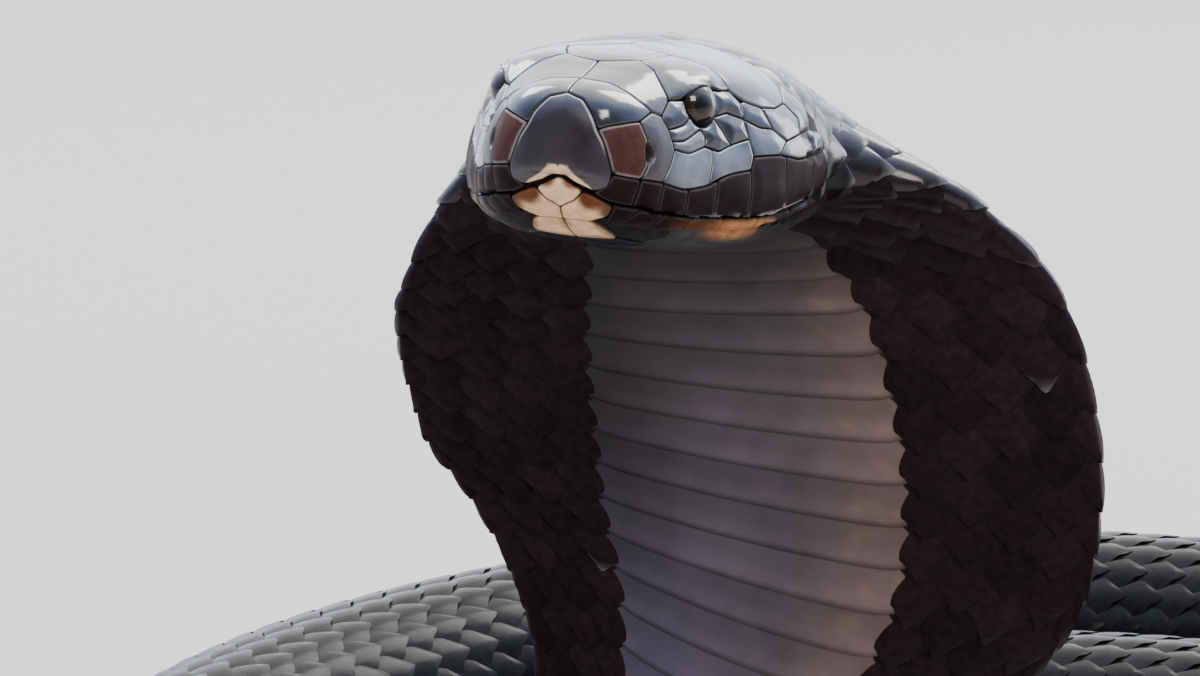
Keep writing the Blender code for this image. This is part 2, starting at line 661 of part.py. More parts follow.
def stand_on_origin(parts, helpers):
    """Parents everything to an empty that puts the middle of the parts' base at the origin."""
    points = np.array([v.co for obj in parts.objects for v in obj.data.vertices])
    low, high = points.min(0), points.max(0)
    root = bpy.data.objects.new("cobra", None)
    root.location = (-(low[0] + high[0]) / 2, -(low[1] + high[1]) / 2, -low[2])
    for obj in (*parts.objects, *helpers.objects):
        obj.parent = root
    parts.objects.link(root)


main()
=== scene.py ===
"""A rearing black cobra above its loose coil, dressed in skin, shields and scales.

Metres, +Z up, the hood faces -Y. Shapes are worked out in millimetres with the same function
as the solids: skin(s, w), with s along the spine from the snout tip and w round the body,
0 along the back and 1 (or -1) along the belly.
"""

import math

import bpy
import numpy as np
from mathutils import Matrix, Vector
from mathutils.geometry import delaunay_2d_cdt


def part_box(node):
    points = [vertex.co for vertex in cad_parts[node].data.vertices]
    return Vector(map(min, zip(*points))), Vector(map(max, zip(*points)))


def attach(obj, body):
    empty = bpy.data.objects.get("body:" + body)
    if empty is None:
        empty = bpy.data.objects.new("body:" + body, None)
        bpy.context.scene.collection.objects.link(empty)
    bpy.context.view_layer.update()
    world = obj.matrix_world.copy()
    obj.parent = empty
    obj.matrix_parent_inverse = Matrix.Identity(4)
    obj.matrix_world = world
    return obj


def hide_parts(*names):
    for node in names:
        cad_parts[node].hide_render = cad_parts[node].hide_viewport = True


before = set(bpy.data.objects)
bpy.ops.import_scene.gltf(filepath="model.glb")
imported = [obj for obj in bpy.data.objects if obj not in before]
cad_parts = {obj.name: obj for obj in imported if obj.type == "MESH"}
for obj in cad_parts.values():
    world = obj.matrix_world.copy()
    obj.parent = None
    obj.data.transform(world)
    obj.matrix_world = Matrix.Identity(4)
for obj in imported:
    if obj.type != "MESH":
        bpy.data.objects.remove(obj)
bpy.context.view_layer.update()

MM = 0.001
LENGTH = 1600.0  # snout to tail tip along the spine
HEAD_STRAIGHT = 42.0  # the spine is straight from the snout to here
COIL_FROM = 220.0  # it lies on the floor from about here
COIL_STEP = 14.0  # between the coil's points
PAST_TAIL = 60.0  # the curve goes on this far, for a steady direction at the tail tip

# Where the head is: the point between the eyes, its turn and its tilt
EYE_HEIGHT = 150.0
HEAD_TURN = math.radians(17)  # to the viewer's left
HEAD_LIFT = math.radians(8)  # nose up
HEAD_ROLL = math.radians(2)  # down on the viewer's right
EYE_AT = 14.5  # behind the snout tip
AXIS_DROP = 6.0  # the spine runs this far below the eyes
HEAD_BLEND = (39.0, 56.0)  # the head's sections turn into the neck's here
MOUTH = 0.6  # how far round the head its upper part reaches, as w

# The head's size at stations behind the snout tip: half width, top, mouth line and chin,
# the last three measured from the level of the eyes
HEAD_STATIONS = (0.0, 0.5, 1.2, 2.2, 4.0, 6.5, 10.0, 14.5, 21.0, 28.0, 36.0, 44.0, 52.0)
HEAD_WIDTH = (0.0, 4.2, 5.9, 7.3, 8.9, 10.4, 12.2, 14.2, 16.9, 18.9, 19.8, 19.8, 21.5)
HEAD_TOP = (-4.2, -1.2, 0.1, 0.9, 1.5, 1.9, 2.7, 3.9, 4.5, 4.8, 4.8, 4.5, 3.9)
HEAD_MOUTH = (-7.0, -7.9, -8.6, -9.3, -10.3, -11.3, -12.0, -12.3, -12.6, -12.4, -12.0, -12.0, -12.0)
HEAD_CHIN = (-7.2, -8.1, -10.3, -12.0, -13.4, -14.6, -15.7, -16.6, -17.5, -18.0, -18.0, -17.5, -16.6)

# The head's half section above the mouth (across, down) and below it, at the snout, the
# eyes and the nape
ABOVE_AT = (0.0, 0.15, 0.3, 0.45, 0.58, 0.7, 0.82, 0.92, 1.0)
ABOVE_ACROSS = {
    "snout": (0.0, 0.27, 0.52, 0.73, 0.86, 0.94, 0.985, 1.0, 0.98),
    "eyes": (0.0, 0.27, 0.51, 0.71, 0.835, 0.90, 0.96, 1.0, 0.985),
    "nape": (0.0, 0.27, 0.52, 0.74, 0.88, 0.955, 1.0, 1.0, 0.98),
}
ABOVE_DOWN = {
    "snout": (0.0, 0.02, 0.07, 0.17, 0.32, 0.49, 0.68, 0.85, 1.0),
    "eyes": (0.0, 0.01, 0.035, 0.10, 0.26, 0.44, 0.64, 0.84, 1.0),
    "nape": (0.0, 0.03, 0.10, 0.22, 0.38, 0.55, 0.73, 0.88, 1.0),
}
BELOW_AT = (0.0, 0.2, 0.45, 0.7, 1.0)
BELOW_ACROSS = (0.975, 0.94, 0.76, 0.43, 0.0)
BELOW_DOWN = (0.0, 0.26, 0.70, 0.94, 1.0)
SHAPE_STATIONS = (7.0, 14.5, 34.0)  # where snout, eyes and nape are reached

# The neck, body and tail at distances along the spine: half width, height of the back and
# depth of the belly from the spine, and how far the section is a spread hood
BODY_STATIONS = (
    (40, 50, 57, 64, 72, 82, 94, 106, 118, 130, 142, 155)
    + (175, 220, 400, 700, 1000, 1200, 1350, 1480, 1560, 1600)
)
BODY_WIDTH = (
    (19.8, 23.5, 30.0, 34.8, 38.3, 41.2, 42.0, 41.0, 36.0, 29.3, 23.0, 18.6)
    + (17.2, 17.6, 18.8, 19.6, 18.6, 15.8, 12.0, 7.4, 3.6, 1.3)
)
BODY_BACK = (
    (10.5, 9.6, 9.0, 8.6, 8.4, 8.4, 8.6, 9.0, 9.8, 11.2, 13.0, 14.8)
    + (16.2, 17.2, 18.4, 19.0, 18.0, 15.4, 11.8, 7.3, 3.6, 1.3)
)
BODY_BELLY = (
    (10.5, 9.6, 8.8, 8.4, 8.2, 8.2, 8.4, 8.8, 9.6, 11.0, 12.8, 14.4)
    + (15.4, 16.2, 17.2, 17.8, 17.0, 14.6, 11.2, 7.0, 3.5, 1.3)
)
HOOD_SHARE = (0.1, 0.45, 0.8, 0.95, 1.0, 1.0, 1.0, 1.0, 1.0, 0.95, 0.75, 0.35) + (0.0,) * 10
HOOD_EDGE = 2.6  # half thickness of the hood's rim
HOOD_CUP = 3.0  # how far the rim comes forward
SLANT_STATIONS = (56, 64, 72, 82, 94, 118, 150, 180)
SLANT = (0.0, 0.05, 0.11, 0.17, 0.21, 0.20, 0.10, 0.0)  # the hood's ribs lie lower on the viewer's right

# The spine from the nape down to the floor, then a spiral on the floor
NECK_PATH = (
    (11.2, 36.0, 135.0),
    (14.4, 42.8, 124.0),
    (17.2, 47.2, 110.0),
    (19.0, 51.5, 95.0),
    (19.0, 55.5, 80.0),
    (16.5, 60.5, 66.0),
    (11.5, 67.5, 52.0),
    (4.5, 78.0, 38.5),
    (-3.5, 93.0, 27.0),
    (-9.0, 108.5, 19.5),
)
COIL_CENTRE = (50.0, 85.0)
COIL_START = math.radians(34)  # clockwise from the west, seen from above
COIL_RADIUS = 66.0
COIL_GROWTH = 50.0  # each turn
PRESS = 1.0  # the belly is pressed flat by this much on the floor
FLOOR_FROM = 150.0  # the body may meet the floor from here on

EYE_RADIUS = 2.9
EYE_SIDE = 10.5  # from the midline to its middle
EYE_DROP = 0.5

# The photograph's camera: the point between the eyes falls on this pixel of its 1200 x 676
VIEW_DOWN = math.radians(12)
CAMERA_DISTANCE = 600.0
FOCAL_PIXELS = 5400.0
PHOTO_WIDTH, PHOTO_HEIGHT = 1200.0, 676.0
SENSOR_WIDTH = 36.0
EYES_PIXEL = (602.0, 92.0)

# The mouth line as the photograph shows it: w at distances behind the snout tip
LIP_STATIONS = (0.0, 0.47, 1.18, 2.2, 3.7, 8.4, 16.2, 20.5, 25.5, 30.9, 41.0)
LIP_LINE = (1.0, 0.98, 0.81, 0.745, 0.695, 0.628, 0.615, 0.62, 0.605, 0.592, 0.58)
LIP_GAP = 0.006  # between each lip's shields and the line, as w
LIP_DEPTH = 0.9

# Outlines of the head's shields as (distance behind the snout tip, w). Neighbours share their
# corners. The first group lies on the midline, with one half of each outline here.
MIDDLE_SHIELDS = {
    "rostral": (
        (1.7, 0), (1.35, 0.1), (0.8, 0.22), (0.64, 0.33), (0.78, 0.42), (0.93, 0.5),
        (1.13, 0.565), (1.16, 0.69), (1.08, 0.8), (0.75, 0.9), (0.44, 1),
    ),
    "frontal": ((12.2, 0), (14.3, 0.1), (17.2, 0.116), (20.2, 0.122), (24.0, 0)),
    "mental": ((0.62, 1), (0.78, 0.935), (1.05, 0.87), (1.5, 0.93), (1.95, 1)),
}
SIDE_SHIELDS = {
    "internasal": (
        (1.7, 0), (6.0, 0), (6.4, 0.1), (5.8, 0.18), (5.65, 0.24), (6.3, 0.3), (4.0, 0.335),
        (2.0, 0.34), (0.64, 0.33), (0.8, 0.22), (1.35, 0.1),
    ),
    "prefrontal": (
        (6.0, 0), (12.2, 0), (14.3, 0.1), (12.4, 0.17), (10.8, 0.22), (9.6, 0.283),
        (7.4, 0.32), (6.3, 0.3), (5.65, 0.24), (5.8, 0.18), (6.4, 0.1),
    ),
    "supraocular": (
        (14.3, 0.1), (17.2, 0.116), (20.2, 0.122), (20.7, 0.22), (19.4, 0.315), (17.4, 0.316),
        (15.2, 0.308), (13.0, 0.304), (11.0, 0.303), (9.6, 0.283), (10.8, 0.22), (12.4, 0.17),
    ),
    "parietal": (
        (24.0, 0), (36.0, 0), (37.2, 0.06), (36.6, 0.14), (35.2, 0.22), (32.8, 0.29),
        (30.6, 0.33), (27.6, 0.347), (24.4, 0.352), (21.4, 0.34), (19.4, 0.315), (20.7, 0.22),
        (20.2, 0.122),
    ),
    "front_nasal": (
        (0.64, 0.33), (2.0, 0.34), (4.0, 0.335), (4.3, 0.4), (4.4, 0.45), (4.0, 0.5), (3.3, 0.547),
        (2.1, 0.557), (1.13, 0.565), (0.93, 0.5), (0.78, 0.42),
    ),
    "back_nasal": (
        (4.0, 0.335), (6.3, 0.3), (7.4, 0.32), (7.7, 0.38), (7.9, 0.43), (7.1, 0.475),
        (5.9, 0.533), (3.3, 0.547), (4.0, 0.5), (4.4, 0.45), (4.3, 0.4),
    ),
    "preocular_1": (
        (7.4, 0.32), (9.6, 0.283), (11.0, 0.303), (12.4, 0.32), (12.9, 0.345), (10.4, 0.37),
        (7.64, 0.368),
    ),
    "preocular_2": (
        (7.64, 0.368), (10.4, 0.37), (12.9, 0.345), (13.2, 0.375), (12.6, 0.405), (9.6, 0.413),
        (7.8, 0.405), (7.7, 0.38),
    ),
    "preocular_3": (
        (7.8, 0.405), (9.6, 0.413), (12.6, 0.405), (13.3, 0.43), (12.9, 0.452), (10.2, 0.452),
        (7.9, 0.43),
    ),
    "postocular_1": (
        (15.2, 0.385), (14.6, 0.36), (14.6, 0.33), (15.2, 0.308), (17.4, 0.316), (19.4, 0.315),
        (20.6, 0.345), (20.3, 0.388), (17.6, 0.375),
    ),
    "postocular_2": (
        (15.2, 0.385), (17.6, 0.375), (20.3, 0.388), (20.5, 0.437), (17.2, 0.455), (16.3, 0.42),
    ),
    "subocular": (
        (13.2, 0.375), (15.2, 0.385), (16.3, 0.42), (17.2, 0.455), (15.1, 0.47), (12.9, 0.452),
        (13.3, 0.43), (12.6, 0.405),
    ),
    "cheek_front": (
        (7.9, 0.43), (10.2, 0.452), (12.9, 0.452), (14.0, 0.463), (13.6, 0.5), (12.7, 0.538),
        (8.9, 0.543), (5.9, 0.533), (7.1, 0.475),
    ),
    "cheek_back": (
        (14.0, 0.463), (15.1, 0.47), (17.2, 0.455), (20.5, 0.437), (20.7, 0.478), (19.9, 0.508),
        (16.4, 0.518), (12.7, 0.538), (13.6, 0.5),
    ),
    "temporal_1": (
        (20.6, 0.345), (21.4, 0.34), (24.4, 0.352), (25.3, 0.405), (23.0, 0.405), (20.3, 0.388),
    ),
    "temporal_2": (
        (20.3, 0.388), (23.0, 0.405), (25.3, 0.405), (27.8, 0.432), (25.6, 0.468), (20.7, 0.478),
        (20.5, 0.437),
    ),
    "temporal_3": (
        (24.4, 0.352), (27.6, 0.347), (30.6, 0.33), (32.4, 0.37), (31.6, 0.412), (27.8, 0.432),
        (25.3, 0.405),
    ),
    "temporal_4": (
        (27.8, 0.432), (31.6, 0.412), (34.6, 0.43), (33.8, 0.47), (29.8, 0.475), (25.6, 0.468),
    ),
    "temporal_5": (
        (30.6, 0.33), (32.8, 0.29), (36.2, 0.3), (37.0, 0.36), (35.6, 0.405), (31.6, 0.412),
        (32.4, 0.37),
    ),
    "temporal_6": (
        (31.6, 0.412), (35.6, 0.405), (38.8, 0.42), (38.4, 0.472), (33.8, 0.47), (34.6, 0.43),
    ),
    "first_lower_lip": (
        (1.95, 1), (1.5, 0.93), (1.05, 0.87), (1.13, 0.838), (1.5, 0.8), (2.2, 0.765), (3.0, 0.82),
        (3.7, 0.91), (3.4, 1),
    ),
    "chin_front": (
        (3.4, 1), (3.7, 0.91), (4.6, 0.885), (7.0, 0.88), (8.8, 0.89), (9.2, 0.95), (9.0, 1),
    ),
    "chin_back": (
        (9.0, 1), (9.2, 0.95), (8.8, 0.89), (12.0, 0.86), (15.5, 0.89), (16.4, 0.96), (15.4, 1),
    ),
}
UPPER_LIP_TOP = (
    (1.13, 0.565), (2.1, 0.557), (3.3, 0.547), (5.9, 0.533), (8.9, 0.543), (12.7, 0.538), (16.4, 0.518),
    (19.9, 0.508), (20.7, 0.478), (25.6, 0.468), (29.8, 0.475), (33.8, 0.47), (38.4, 0.472), (39.6, 0.475),
)
UPPER_LIP_SEAMS = (1.13, 3.3, 6.0, 9.6, 14.2, 19.9, 26.8, 34.0, 39.6)
LOWER_LIP_FOOT = (
    (2.2, 0.765), (3.0, 0.82), (3.7, 0.85), (4.6, 0.82), (7.0, 0.765), (11.0, 0.725),
    (17.0, 0.705), (25.0, 0.685), (33.0, 0.665), (40.5, 0.645),
)
LOWER_LIP_SEAMS = (2.2, 4.2, 7.0, 11.0, 16.5, 22.5, 29.5, 36.0, 39.6)
ROUND_EYE = ("preocular", "postocular", "subocular")
SHIELD_SEAM = -0.06  # where two shields meet, measured from the skin
SHIELD_HEIGHT = 0.3
SHIELD_EDGE = 0.21  # how far in from the seam a shield is at its full height
UNDER_SHIELDS = 0.35  # the skin lies this much deeper below the shields
SHIELD_DOME = 0.12
ROUND_EYE_DOME = 0.3  # the small shields round the eye are rounder
BROW_RIDGE = 0.4
SHIELD_GRID = 0.4  # between a shield's points
FINE_GRID = 0.2  # between those of the rostral and the small shields round the eye and nostril
RING_DEPTHS = (0.07, 0.14, 0.25, 0.42)  # rings of points inside each outline, for an even edge
ROSTRAL_RINGS = (0.62, 0.82, 1.05)  # more of them in the rostral, where its cream arch ends
SNOUT_RADII = (0.006, 0.015, 0.03, 0.06, 0.1, *np.arange(0.16, 1.08, 0.06))  # on the flat layout
SHIELD_ROOT = 0.9

# The opening that each eye looks out of, and the nostrils
EYE_FORWARD = math.radians(40)
EYE_UPWARD = math.radians(6)
EYE_OPENING = 2.45
BROW_OVERHANG = 0.75  # how far the brow's shield comes over the opening
EYE_FLATTEN = 0.86
EYE_BACK = 0.2  # how much deeper than the solid's ball it sits
LID_THICKNESS = 0.16  # the shields stand this far off the eyeball where they cover it
SINK_AT_EYE = 1.5
FAR_AWAY = 99.0  # stands for the distance of places that the eye doesn't face
NOSTRIL_AT = (4.35, 0.448)
NOSTRIL_RADIUS = 0.62
NOSTRIL_SHAPE = 0.55  # as wide as this share of its height
NOSTRIL_DEPTH = 1.4

# Where the belly's scutes end, as w each side of the belly's midline
SCUTE_STATIONS = (40, 44, 50, 80, 130, 180, 1330, 1600)
SCUTE_SPAN = (0.0, 0.06, 0.12, 0.137, 0.155, 0.22, 0.23, 0.2)
SCUTES_START, TAIL_START = 44.5, 1330.0

# One scale row's step along the body, how many rows go round the back, and the scales' size
# as shares of their step and row
STEP_STATIONS = (12, 34, 44, 60, 120, 180, 260, 700, 1200, 1330, 1450, 1560, 1600)
STEPS = (2.8, 3.2, 4.2, 5.3, 5.5, 5.7, 6.0, 6.4, 6.0, 5.2, 4.2, 2.6, 1.8)
ROW_CHANGES = (
    (12, 23), (62, 25), (140, 21), (230, 19), (1150, 17),
    (1300, 13), (1420, 11), (1490, 9), (1540, 7), (1575, 5),
)
SCALE_LENGTH = 1.45
SHORTER_ON_HOOD = 0.22
SCALE_HALF_WIDTH = 0.74
WIDEST_ON_HOOD = 3.3  # the limit of its half width on the hood
WIDER_OFF_HOOD = 9.0  # added to that limit where there is no hood
# How deep a scale's root lies, and its tilt, dome and turned-down rim as shares of its size
SCALE_SINK, SCALE_TILT, SCALE_DOME, SCALE_LIP = 0.14, 0.17, 0.12, 0.35
# A scute's length, how far ahead it starts, its tilt, and how far its rear edge and its ends
# turn down, as shares of its step
SCUTE_LENGTH, SCUTE_AHEAD, SCUTE_TILT, SCUTE_LIP, SCUTE_ENDS = 1.24, 0.1, 0.06, 0.03, 0.02
SCUTE_LIFT = 0.02
TILE_ROOT = 0.45  # scales and scutes reach this far into the skin
CLOSE_GRID, FAR_GRID = (8, 7), (6, 5)  # points along and across one scale
WHOLE_SCUTE, HALF_SCUTE = (7, 25), (7, 11)  # and one scute
NAPE = (50.0, 76.0)  # where the head's polish fades
TUCK = 0.2  # how much deeper a scale lies whose root is under a shield's rear edge

# The studio: its brightest direction, and its colours from the darkest side to that one
BRIGHTEST = (0.05, 0.75, 0.66)
STUDIO_STRENGTH = 4.5
STUDIO = (
    (0.0, (0.035, 0.03, 0.032)), (0.45, (0.07, 0.066, 0.072)), (0.7, (0.24, 0.32, 0.52)),
    (0.88, (0.7, 0.78, 0.94)), (1.0, (1.0, 0.98, 0.95)),
)
LIT_PLACE = (0.0, 0.02, 0.12)  # in the head, where every light is turned to, in metres
# Each light's place from there, in metres, its size, power and colour
LIGHTS = {
    "behind left": ((-0.5, 0.75, 0.75), (0.5, 0.5), 11, (0.95, 0.97, 1.0)),
    "behind right": ((0.55, 0.75, 0.8), (0.6, 0.6), 16, (1.0, 0.95, 0.88)),
    "low right": ((0.9, 0.7, 0.0), (0.3, 0.6), 3, (1.0, 0.97, 0.94)),
    "front above": ((0.15, -0.38, 0.37), (0.18, 0.18), 1.6, (1.0, 0.96, 0.9)),
}
FLOOR_COLOUR = (0.42, 0.38, 0.34)
FLOOR_REACH = 12.0

# The lengths of the body whose scales are one piece each. The first two mix over the nape.
HOOD_END = 150.0
REGIONS = (
    ("head", 0.0, NAPE[1]), ("hood", NAPE[0] - 14, HOOD_END), ("neck", HOOD_END, 290.0),
    ("coil_1", 290.0, 480.0), ("coil_2", 480.0, 670.0), ("coil_3", 670.0, 860.0),
    ("coil_4", 860.0, 1050.0), ("coil_5", 1050.0, 1260.0), ("coil_6", 1260.0, LENGTH),
)
SCUTE_REGIONS = (("hood", 0, 150), ("body", 150, 700), ("rear", 700, TAIL_START))

# Where the skin has its rings of points, close together on the head, and how many are in one
SKIN_RINGS = np.concatenate(
    [
        (0.03, 0.12, 0.3), np.arange(0.5, 3, 0.25), np.arange(3, 46, 0.45), np.arange(46, 150, 1.0),
        np.arange(150, 1590, 3.0), np.linspace(1590, LENGTH, 8),
    ]
)
SKIN_COLUMNS = 120
EYE_RINGS, EYE_TURNS = 49, 64
CORNEA = 0.03  # how much further the eye's front stands out, as a share of its radius
CHART_FROM = 4.0  # the flat layout of the head is drawn another way in front of this
CHART_SIZE = 64.0  # of the head laid out flat
PATCH = 0.003  # how much of the unwrapped skin each scale's colours come from
BUMP_DEPTH = 0.0001  # metres
SHIELD_SEED, NAPE_SEED, SCALE_SEED, SCUTE_SEED, TAIL_SEED = 11, 3, 20, 40, 90
NEAR_SHIELDS = 48.0  # scales behind this lie clear of the shields
# Where a scale is tested for a shield over it, in steps from its middle: over its root it
# lies deeper, and over its body it is left out
SCALE_ROOT_AT, SCALE_BODY_AT = -0.2, 0.25
SHARP_FROM = 66.0  # degrees between two faces whose edge is drawn sharp
FLOOR_MARGIN = 0.4  # the skin stays this far above the floor, so that the scales cover it


def smooth(x, xs, ys):
    """A smooth curve through the points (xs, ys), with no overshoot."""
    x, xs, ys = np.asarray(x, float), np.asarray(xs, float), np.asarray(ys, float)
    steps = np.diff(xs)
    slopes = np.diff(ys) / steps
    ends = np.zeros(len(xs))
    same = slopes[:-1] * slopes[1:] > 0
    mean = 2 * slopes[:-1] * slopes[1:] / np.where(same, slopes[:-1] + slopes[1:], 1)
    ends[1:-1] = np.where(same, mean, 0)
    ends[0], ends[-1] = slopes[0], slopes[-1]
    x = np.clip(x, xs[0], xs[-1])
    i = np.clip(np.searchsorted(xs, x, side="right") - 1, 0, len(steps) - 1)
    t = (x - xs[i]) / steps[i]
    a = (2 * t**3 - 3 * t**2 + 1) * ys[i] + (3 * t**2 - 2 * t**3) * ys[i + 1]
    b = (t**3 - 2 * t**2 + t) * ends[i] + (t**3 - t**2) * ends[i + 1]
    return a + b * steps[i]


def ease(x, start, end):
    """0 before start, 1 after end, and a smooth step between."""
    t = np.clip((np.asarray(x, float) - start) / (end - start), 0, 1)
    return t * t * (3 - 2 * t)


def fade(x, start, end):
    """1 before start, 0 after end, and a smooth step between."""
    return 1 - ease(x, start, end)


def hood_share(s):
    """How far the body is a spread hood, 0 to 1."""
    return smooth(s, BODY_STATIONS, HOOD_SHARE)


def lip_line(s):
    """The mouth line's w."""
    return np.interp(s, LIP_STATIONS, LIP_LINE)


def unit(v):
    """Each vector made one long."""
    return v / np.linalg.norm(v, axis=-1, keepdims=True)


def head_axes():
    """Back along the head, across to the viewer's right, and up from the crown."""
    turn, lift = HEAD_TURN, HEAD_LIFT
    back = np.array((math.sin(turn) * math.cos(lift), math.cos(turn) * math.cos(lift), -math.sin(lift)))
    level = np.array((math.cos(turn), -math.sin(turn), 0.0))
    plumb = np.array((math.sin(turn) * math.sin(lift), math.cos(turn) * math.sin(lift), math.cos(lift)))
    across = level * math.cos(HEAD_ROLL) - plumb * math.sin(HEAD_ROLL)
    up = plumb * math.cos(HEAD_ROLL) + level * math.sin(HEAD_ROLL)
    return back, across, up


BACK, ACROSS, UP = head_axes()


def spine_path():
    """Points of the spine close together, and the distance along it at each."""
    eyes = np.array((0.0, 0.0, EYE_HEIGHT))
    head = [eyes + (a - EYE_AT) * BACK - AXIS_DROP * UP for a in np.linspace(0, HEAD_STRAIGHT, 7)]
    points = head + [np.array(p) for p in NECK_PATH]
    angle = COIL_START
    run = COIL_FROM
    while run < LENGTH + PAST_TAIL:
        radius = COIL_RADIUS + COIL_GROWTH * angle / (2 * math.pi)
        height = float(smooth(run, BODY_STATIONS, BODY_BELLY)) - PRESS
        centre = np.array((COIL_CENTRE[0], COIL_CENTRE[1], height))
        points.append(centre + radius * np.array((-math.cos(angle), math.sin(angle), 0)))
        angle += COIL_STEP / radius
        run += COIL_STEP
    points = np.array(points)
    # A Catmull-Rom curve through the points
    dense = []
    for i in range(len(points) - 1):
        p0, p1, p2, p3 = (points[min(max(i + k, 0), len(points) - 1)] for k in (-1, 0, 1, 2))
        t = np.linspace(0, 1, 20, endpoint=False)[:, None]
        square, cube = 2 * p0 - 5 * p1 + 4 * p2 - p3, 3 * p1 - p0 - 3 * p2 + p3
        dense.append((2 * p1 + (p2 - p0) * t + square * t**2 + cube * t**3) / 2)
    dense = np.concatenate(dense)
    run = np.concatenate([[0], np.cumsum(np.linalg.norm(np.diff(dense, axis=0), axis=1))])
    return dense, run


SPINE, RUN = spine_path()
TANGENT = unit(np.gradient(SPINE, RUN, axis=0))
BACK_AT = (0, 42, 62, 75, 100, 125, 200, 1e4)
BACKS = np.array(
    [UP, UP, (0.2, 0.8, 0.6), (0.16, 0.96, 0.26), (0.13, 0.96, 0.2), (0.1, 0.94, 0.3)] + [(0, 0, 1)] * 2
)


def spine(s):
    """The spine's place at s, with the directions across, up out of the back, and along."""
    place = np.stack([np.interp(s, RUN, SPINE[:, k]) for k in range(3)], -1)
    along = unit(np.stack([np.interp(s, RUN, TANGENT[:, k]) for k in range(3)], -1))
    up = np.stack([smooth(s, BACK_AT, BACKS[:, k]) for k in range(3)], -1)
    up = unit(up - along * (up * along).sum(-1, keepdims=True))
    return place, np.cross(along, up), up, along


def head_section(s, v):
    """Across and up from the spine, v from the crown (0) to the chin (1)."""
    root, stations = np.sqrt(np.clip(s, 0, 52)), np.sqrt(HEAD_STATIONS)
    width = smooth(root, stations, HEAD_WIDTH)
    top = smooth(root, stations, HEAD_TOP)
    mouth = smooth(root, stations, HEAD_MOUTH)
    chin = smooth(root, stations, HEAD_CHIN)
    above = np.clip(v / MOUTH, 0, 1)
    below = np.clip((v - MOUTH) / (1 - MOUTH), 0, 1)
    snout, eyes, nape = (
        (smooth(above, ABOVE_AT, ABOVE_ACROSS[k]), smooth(above, ABOVE_AT, ABOVE_DOWN[k]))
        for k in ("snout", "eyes", "nape")
    )
    first, second = ease(s, *SHAPE_STATIONS[:2]), ease(s, *SHAPE_STATIONS[1:])
    across, down = (snout[k] + (eyes[k] - snout[k]) * first + (nape[k] - eyes[k]) * second for k in (0, 1))
    low = v > MOUTH
    out = width * np.where(low, smooth(below, BELOW_AT, BELOW_ACROSS), across)
    chin_drop = (mouth - chin) * smooth(below, BELOW_AT, BELOW_DOWN)
    up = np.where(low, mouth - chin_drop, top - (top - mouth) * down)
    return out, up + AXIS_DROP


def body_section(s, v):
    """Across and up from the spine, for the neck, hood, body and tail."""
    width, back, belly, hood = (
        smooth(s, BODY_STATIONS, row) for row in (BODY_WIDTH, BODY_BACK, BODY_BELLY, HOOD_SHARE)
    )
    turn = math.pi * v
    out, lift = np.sin(turn), np.cos(turn)
    depth = np.where(lift > 0, back, belly)
    round_up = depth * np.where(lift > 0, lift, -np.abs(lift) ** 0.8)
    bump = (1 - out**2) ** 1.6
    edge = np.minimum(HOOD_EDGE, depth)
    hood_up = np.sign(lift) * (edge * np.abs(lift) ** 0.6 + (depth - edge) * bump) - HOOD_CUP * out**2
    return width * out, round_up + (hood_up - round_up) * hood


def section(s, v):
    """Across and up from the spine, the head's section turning into the body's."""
    head, body = head_section(s, v), body_section(s, v)
    share = ease(s, *HEAD_BLEND)
    return [head[k] + (body[k] - head[k]) * share for k in (0, 1)]


def off_floor(points, s, lowest):
    """The points, none of them lower than this where the body may meet the floor."""
    below = (s > FLOOR_FROM) & (points[..., 2] < lowest)
    points[..., 2] = np.where(below, lowest, points[..., 2])
    return points


def skin(s, w):
    """The place of the skin at s along the spine and w round it."""
    s, w = np.broadcast_arrays(np.asarray(s, float), np.asarray(w, float))
    out, up = section(s, np.abs(w))
    place, across, back, along = spine(s)
    side = (np.sign(w) * out)[..., None]
    slant = smooth(s, SLANT_STATIONS, SLANT)[..., None]
    return off_floor(place + (across + along * slant) * side + back * up[..., None], s, 0)


def outwards(s, w):
    """The direction out of the skin."""
    e = 0.05
    along = skin(s + e, w) - skin(np.maximum(s - e, 0), w)
    round_ = skin(s, w + 0.004) - skin(s, w - 0.004)
    return unit(np.cross(round_, along))


def above(s, w, height, lowest=0.0):
    """Points this high above the skin, kept above the floor where the body may meet it."""
    return off_floor(skin(s, w) + outwards(s, w) * np.asarray(height)[..., None], s, lowest)


def girth_table():
    """Half the girth at stations along the spine, and w at equal shares of it."""
    stations = np.concatenate([np.linspace(0.3, 60, 150), np.linspace(61, LENGTH, 450)])
    v = np.linspace(0, 1, 321)
    out, up = section(stations[:, None], v[None, :])
    steps = np.hypot(np.diff(out, axis=1), np.diff(up, axis=1))
    run = np.concatenate([np.zeros((len(stations), 1)), np.cumsum(steps, axis=1)], axis=1)
    shares = run / run[:, -1:]
    even = np.linspace(0, 1, 241)
    round_ = np.array([np.interp(even, row, v) for row in shares])
    span = 1 - smooth(stations, SCUTE_STATIONS, SCUTE_SPAN)
    edge = np.array([np.interp(x, v, row) for x, row in zip(span, shares)])
    return stations, run[:, -1], round_, edge


GIRTH_AT, HALF_GIRTH, ROUND, BELLY_EDGE = girth_table()


